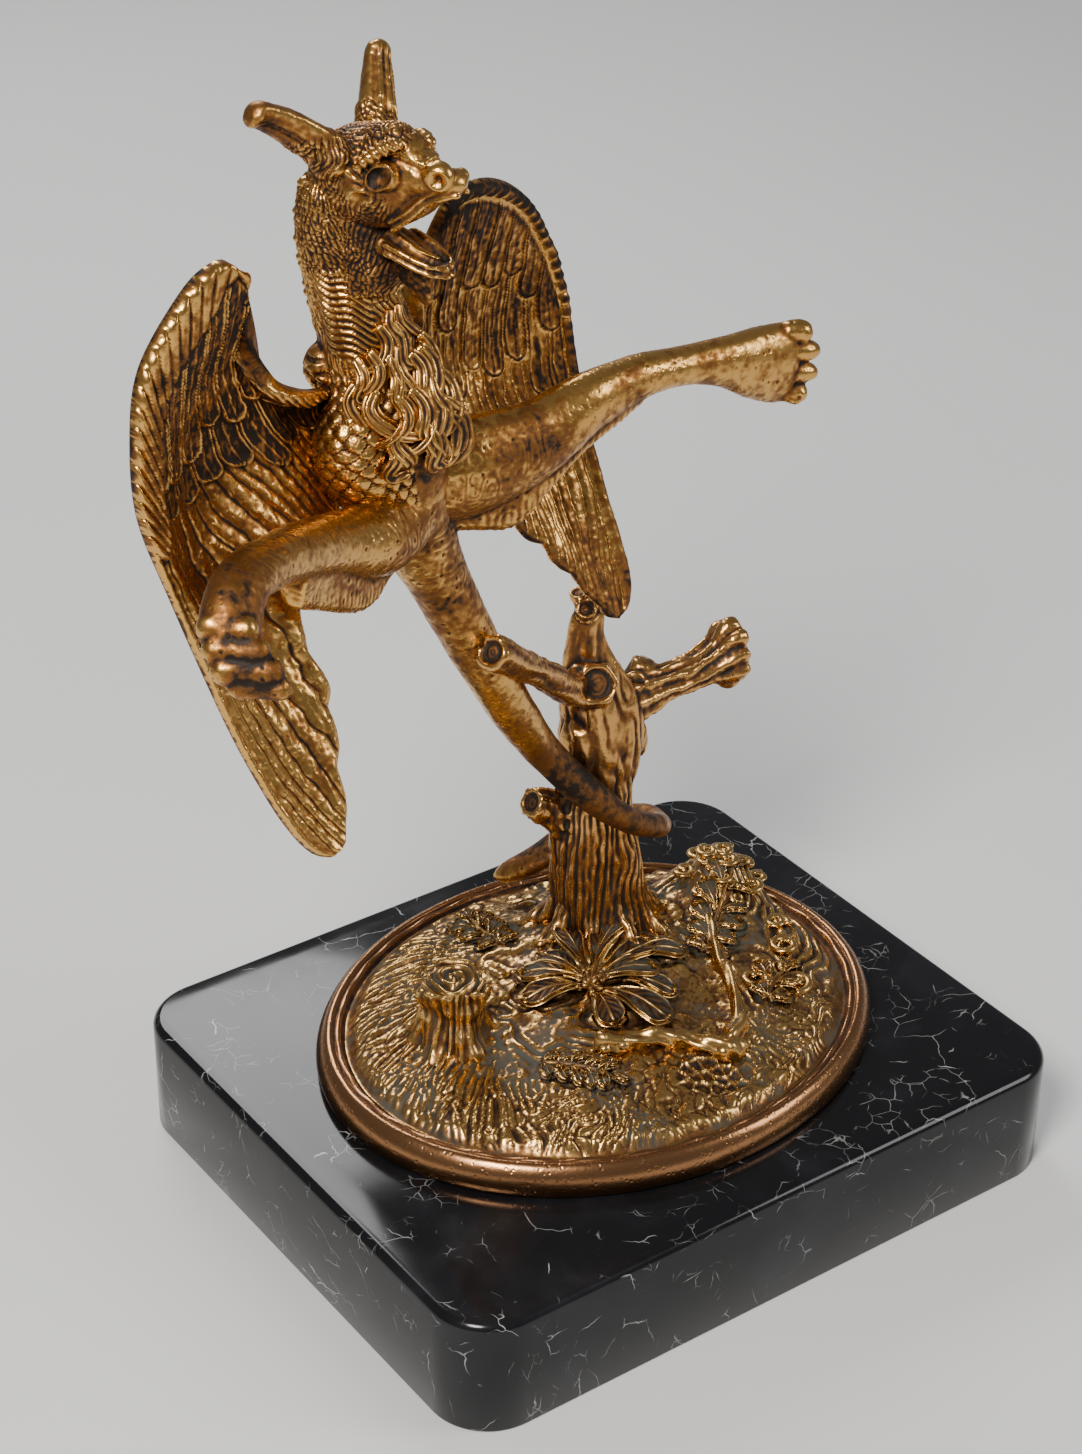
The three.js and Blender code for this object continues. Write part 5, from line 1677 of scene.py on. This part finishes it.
def patina_group():
    """Cast bronze: bright on the ridges, dark in the hollows and where the hollow attribute carries stains or
    painted shade, with blotches, pits and a pale deposit.
    """
    if "Bronze patina" in bpy.data.node_groups:
        return bpy.data.node_groups["Bronze patina"]
    group = bpy.data.node_groups.new("Bronze patina", "ShaderNodeTree")
    for way, kind, names in PATINA_SOCKETS:
        for name in names:
            group.interface.new_socket(name, in_out=way, socket_type="NodeSocket" + kind)
    given = group.nodes.new("NodeGroupInput").outputs
    where = group.nodes.new("ShaderNodeTexCoord").outputs["Object"]
    hollow = place_node(group, "ShaderNodeAttribute", attribute_name="hollow").outputs["Fac"]
    grain = clouds(group, where, 330.0, 5.0, 0.62)
    blotch = clouds(group, where, 52.0, 4.0, 0.55)
    pits = place_node(group, "ShaderNodeTexVoronoi", {"Vector": where, "Scale": 620.0}).outputs["Distance"]
    fine, broad = combine(group, "SUBTRACT", grain, 0.5), combine(group, "SUBTRACT", blotch, 0.5)
    uneven = combine(group, "ADD", fine, broad)
    uneven = combine(group, "MULTIPLY", uneven, given["Unevenness"])
    level = combine(group, "ADD", combine(group, "MULTIPLY", hollow, 0.5), uneven)
    level = combine(group, "ADD", level, given["Darkness"])
    warm = mix(group, span(group, level, 0.22, 0.60), given["Bright"], given["Middle"])
    deep = mix(group, span(group, level, 0.55, 0.95), warm, given["Dark"])
    dusty = combine(group, "MULTIPLY", span(group, level, 0.42, 0.62), span(group, blotch, 0.44, 0.58))
    dusty = combine(group, "MULTIPLY", dusty, given["Deposit amount"])
    result = group.nodes.new("NodeGroupOutput").inputs
    group.links.new(mix(group, dusty, deep, given["Deposit"]), result["Color"])
    shine = span(group, level, 0.15, 0.85, 0.25, 0.6)
    rough = combine(group, "ADD", shine, combine(group, "MULTIPLY", dusty, 0.2))
    group.links.new(rough, result["Roughness"])
    bare = span(group, level, 0.5, 0.95, 1.0, 0.6)
    metal = combine(group, "SUBTRACT", bare, combine(group, "MULTIPLY", dusty, 0.6))
    group.links.new(metal, result["Metallic"])
    dents = span(group, pits, 0.1, 0.35, 0.0, 0.4)
    height = combine(group, "ADD", combine(group, "MULTIPLY", grain, 0.7), dents)
    group.links.new(height, result["Height"])
    return group


def bronze(name, bright, middle, dark, deposit=PLAIN_DEPOSIT, amount=0.0, uneven=0.5, darkness=0.5):
    """Cast bronze whose patina has the given tones and unevenness."""
    material, tree = start_material(name)
    inputs = {"Deposit amount": amount, "Unevenness": uneven, "Darkness": darkness}
    for key, tone in (("Bright", bright), ("Middle", middle), ("Dark", dark), ("Deposit", deposit)):
        inputs[key] = (*tone, 1)
    patina = place_node(tree, "ShaderNodeGroup", node_tree=patina_group())
    for key, value in inputs.items():
        patina.inputs[key].default_value = value
    finish = patina.outputs
    relief = {"Strength": 0.35, "Distance": 0.0004, "Height": finish["Height"]}
    bump = place_node(tree, "ShaderNodeBump", relief)
    end_material(
        tree,
        {
            "Base Color": finish["Color"],
            "Roughness": finish["Roughness"],
            "Metallic": finish["Metallic"],
            "Normal": bump.outputs[0],
        },
    )
    return material


def vector_sum(tree, kind, a, b):
    """SUBTRACT or ADD of two vectors."""
    return place_node(tree, "ShaderNodeVectorMath", {0: a, 1: b}, operation=kind).outputs[0]


def black_marble(base, vein):
    """Polished black marble with thin, broken white veins and faint grey clouds."""
    material, tree = start_material("Black marble")
    where = tree.nodes.new("ShaderNodeTexCoord").outputs["Object"]
    warp = clouds(tree, where, 22.0, 5.0, output="Color")
    shifted = vector_sum(tree, "SUBTRACT", warp, (0.5, 0.5, 0.5))
    scaled = place_node(tree, "ShaderNodeVectorMath", {0: shifted, "Scale": 0.035}, operation="SCALE")
    bent = vector_sum(tree, "ADD", where, scaled.outputs[0])
    veins = None
    for scale, width, shift, strength in VEINS:
        inputs = {"Vector": bent, "Scale": scale}
        lines = place_node(tree, "ShaderNodeTexVoronoi", inputs, feature="DISTANCE_TO_EDGE")
        thin = span(tree, lines.outputs["Distance"], 0.0, width, strength, 0.0)
        moved = vector_sum(tree, "ADD", where, (shift, shift, 0))
        breaks = clouds(tree, moved, 70.0, 5.0)
        part = combine(tree, "MULTIPLY", thin, span(tree, breaks, 0.56, 0.66))
        veins = part if veins is None else combine(tree, "MAXIMUM", veins, part)
    cloud = clouds(tree, bent, 40.0, 6.0)
    ground = mix(tree, span(tree, cloud, 0.45, 0.75), (*base, 1), (*[c * 2.4 for c in base], 1))
    whole = mix(tree, veins, ground, (*vein, 1))
    polish = span(tree, cloud, 0.3, 0.7, 0.10, 0.17)
    rough = combine(tree, "ADD", polish, combine(tree, "MULTIPLY", veins, 0.12))
    end_material(tree, {"Base Color": whole, "Roughness": rough, "Specular IOR Level": 0.34})
    return material


def plain_floor(colour):
    """A matt pale floor with a barely uneven tone."""
    material, tree = start_material("Pale floor")
    where = tree.nodes.new("ShaderNodeTexCoord").outputs["Object"]
    tone = clouds(tree, where, 3.0, 3.0)
    shade = mix(tree, span(tree, tone, 0.3, 0.7), (*colour, 1), (*[0.97 * c for c in colour], 1))
    end_material(tree, {"Base Color": shade, "Roughness": 0.7})
    return material


# Stage
def add_light(name, place, size, power, colour):
    """A soft round lamp that faces the statue."""
    deselect()
    bpy.ops.object.light_add(type="AREA", location=place)
    light = bpy.context.object
    light.name = name
    light.data.shape = "DISK"
    light.data.size = size
    light.data.energy = power
    light.data.color = colour
    light.rotation_euler = (Vector(LIGHT_TARGET) - Vector(place)).to_track_quat("-Z", "Y").to_euler()


def make_stage(floor_colour):
    """The floor, the room's even light, three lamps and the camera."""
    deselect()
    bpy.ops.mesh.primitive_plane_add(size=FLOOR_SIZE, location=(0, 0, 0))
    floor = bpy.context.object
    floor.name = "floor"
    floor.data.materials.append(plain_floor(floor_colour))
    world = bpy.data.worlds.new("Soft studio")
    bpy.context.scene.world = world
    world.use_nodes = True
    background = world.node_tree.nodes["Background"].inputs
    background["Color"].default_value = ROOM_COLOUR
    background["Strength"].default_value = ROOM_STRENGTH
    for row in LIGHTS:
        add_light(*row)
    bpy.ops.object.camera_add()
    camera = bpy.context.object
    camera.name = "camera"
    camera.data.lens = CAMERA_LENS
    camera.data.sensor_width = CAMERA_SENSOR
    turn = Matrix((CAMERA_RIGHT, CAMERA_UP, CAMERA_BACK)).transposed()
    camera.matrix_world = Matrix.Translation(Vector(CAMERA_PLACE)) @ turn.to_4x4()
    camera.data.clip_start = 0.01
    bpy.context.scene.camera = camera


# Settings, tools and panel
def length_setting(name, description, default, least):
    return FloatProperty(
        name=name, description=description, default=default, min=least, subtype="DISTANCE", unit="LENGTH"
    )


def colour_setting(name, description, default):
    return FloatVectorProperty(
        name=name, description=description, default=default, subtype="COLOR", size=3, min=0, max=1
    )


class StatueSizes(bpy.types.PropertyGroup):
    corner_radius: length_setting("Corner radius", "Roundness of the plinth's corners", 0.017, 0.001)
    plinth_edge: length_setting("Plinth edge", "Width of the softened upper edge", 0.0022, 0.0002)
    beads: FloatProperty(
        name="Beads", description="How many beads run round the inner line of the rim", default=288, min=8
    )


class StatueColours(bpy.types.PropertyGroup):
    gold: colour_setting("Gold", "Bright ridges of the beast", (0.66, 0.365, 0.10))
    amber: colour_setting("Amber", "Middle tone of the beast", (0.25, 0.102, 0.027))
    soot: colour_setting("Soot", "Dark hollows of the bronze", (0.018, 0.010, 0.006))
    bark: colour_setting("Bark", "Middle tone of the ground and the low stump", (0.17, 0.075, 0.026))
    deposit: colour_setting("Deposit", "Pale grey-green deposit in the flats", (0.092, 0.090, 0.064))
    copper: colour_setting("Copper", "Middle tone of the rim", (0.17, 0.072, 0.033))
    marble: colour_setting("Marble", "Ground of the plinth", (0.006, 0.006, 0.007))
    vein: colour_setting("Vein", "Veins of the plinth", (0.72, 0.72, 0.70))
    floor: colour_setting("Floor", "Floor of the stage", (0.80, 0.80, 0.79))
    straw: colour_setting("Straw", "Bright ridges of the ground and the low stump", (0.60, 0.36, 0.12))
    bark_ridge: colour_setting("Bark ridge", "Bright ridges of the tree stump", (0.60, 0.32, 0.10))
    bark_flat: colour_setting("Bark flat", "Middle tone of the tree stump", (0.22, 0.088, 0.028))
    copper_ridge: colour_setting("Copper ridge", "Bright tone of the rim", (0.38, 0.185, 0.08))


def gilt_bronze(colours):
    return bronze("Gilt bronze", colours.gold, colours.amber, colours.soot, uneven=1.15, darkness=0.5)


def brown_bronze(colours):
    return bronze("Brown bronze", colours.straw, colours.bark, colours.soot, colours.deposit, 0.6, 0.85, 0.47)


def bark_bronze(colours):
    tones = (colours.bark_ridge, colours.bark_flat, colours.soot, colours.deposit)
    return bronze("Bark bronze", *tones, 0.12, 0.8, 0.5)


def copper_bronze(colours):
    tones = (colours.copper_ridge, colours.copper, colours.soot)
    return bronze("Copper bronze", *tones, uneven=0.8, darkness=0.46)


class STATUE_OT_plinth(bpy.types.Operator):
    """Make the marble plinth"""

    bl_idname = "statue.plinth"
    bl_label = "Marble Plinth"

    def execute(self, context):
        sizes, colours = context.scene.statue_sizes, context.scene.statue_colours
        piece = make_plinth(sizes.corner_radius / MM, sizes.plinth_edge / MM)
        finish_piece(piece, black_marble(colours.marble, colours.vein), "marble_plinth")
        return {"FINISHED"}


class STATUE_OT_oval(bpy.types.Operator):
    """Make the oval rim and the ground inside it"""

    bl_idname = "statue.oval"
    bl_label = "Rim and Ground"

    def execute(self, context):
        colours = context.scene.statue_colours
        rim = make_rim(round(context.scene.statue_sizes.beads))
        finish_piece(rim, copper_bronze(colours), "oval_ground_with_tree")
        finish_piece(make_ground(), brown_bronze(colours), "oval_ground_with_tree")
        return {"FINISHED"}


class STATUE_OT_undergrowth(bpy.types.Operator):
    """Make the low stump, the leaves, the twigs and the scrolls on the ground"""

    bl_idname = "statue.undergrowth"
    bl_label = "Undergrowth"

    def execute(self, context):
        material = brown_bronze(context.scene.statue_colours)
        for piece in (make_undergrowth(), make_stump()):
            finish_piece(piece, material, "oval_ground_with_tree")
        return {"FINISHED"}


class STATUE_OT_tree(bpy.types.Operator):
    """Make the tree stump with its roots and cut branches"""

    bl_idname = "statue.tree"
    bl_label = "Tree Stump"

    def execute(self, context):
        material = bark_bronze(context.scene.statue_colours)
        finish_piece(make_tree(), material, "oval_ground_with_tree")
        return {"FINISHED"}


class STATUE_OT_body(bpy.types.Operator):
    """Make the beast's neck, breast, body, tail and forelegs"""

    bl_idname = "statue.body"
    bl_label = "Body and Forelegs"

    def execute(self, context):
        material = gilt_bronze(context.scene.statue_colours)
        for piece in (make_breast(), make_limbs()):
            finish_piece(piece, material, "chimera")
        return {"FINISHED"}


class STATUE_OT_wings(bpy.types.Operator):
    """Make both wings"""

    bl_idname = "statue.wings"
    bl_label = "Wings"

    def execute(self, context):
        material = gilt_bronze(context.scene.statue_colours)
        for name, wing, seed in (("right_wing", RIGHT_WING, 5), ("left_wing", LEFT_WING, 9)):
            finish_piece(make_wing(name, wing, seed), material, "chimera")
        return {"FINISHED"}


class STATUE_OT_head(bpy.types.Operator):
    """Make the head and the mane"""

    bl_idname = "statue.head"
    bl_label = "Head and Mane"

    def execute(self, context):
        material = gilt_bronze(context.scene.statue_colours)
        for piece in (make_head(), make_mane()):
            finish_piece(piece, material, "chimera")
        return {"FINISHED"}


class STATUE_OT_stage(bpy.types.Operator):
    """Make the floor, the soft light and the camera"""

    bl_idname = "statue.stage"
    bl_label = "Stage"

    def execute(self, context):
        make_stage(context.scene.statue_colours.floor)
        return {"FINISHED"}


class STATUE_PT_panel(bpy.types.Panel):
    bl_idname = "STATUE_PT_panel"
    bl_label = "Winged Beast Statue"
    bl_space_type = "VIEW_3D"
    bl_region_type = "UI"
    bl_category = "Statue"

    def draw(self, context):
        layout = self.layout
        for group in (context.scene.statue_sizes, context.scene.statue_colours):
            for name in group.__annotations__:
                layout.prop(group, name)
        for tool in TOOLS:
            layout.operator(tool.bl_idname)


TOOLS = (
    STATUE_OT_stage,
    STATUE_OT_plinth,
    STATUE_OT_oval,
    STATUE_OT_undergrowth,
    STATUE_OT_tree,
    STATUE_OT_body,
    STATUE_OT_wings,
    STATUE_OT_head,
)
CLASSES = (StatueSizes, StatueColours, *TOOLS, STATUE_PT_panel)


def register():
    for item in CLASSES:
        bpy.utils.register_class(item)
    bpy.types.Scene.statue_sizes = PointerProperty(type=StatueSizes)
    bpy.types.Scene.statue_colours = PointerProperty(type=StatueColours)


def unregister():
    del bpy.types.Scene.statue_colours
    del bpy.types.Scene.statue_sizes
    for item in reversed(CLASSES):
        bpy.utils.unregister_class(item)


def main():
    register()
    bpy.ops.statue.stage()
    bpy.ops.statue.plinth()
    bpy.ops.statue.oval()
    bpy.ops.statue.undergrowth()
    bpy.ops.statue.tree()
    bpy.ops.statue.body()
    bpy.ops.statue.wings()
    bpy.ops.statue.head()


if __name__ == "__main__":
    main()
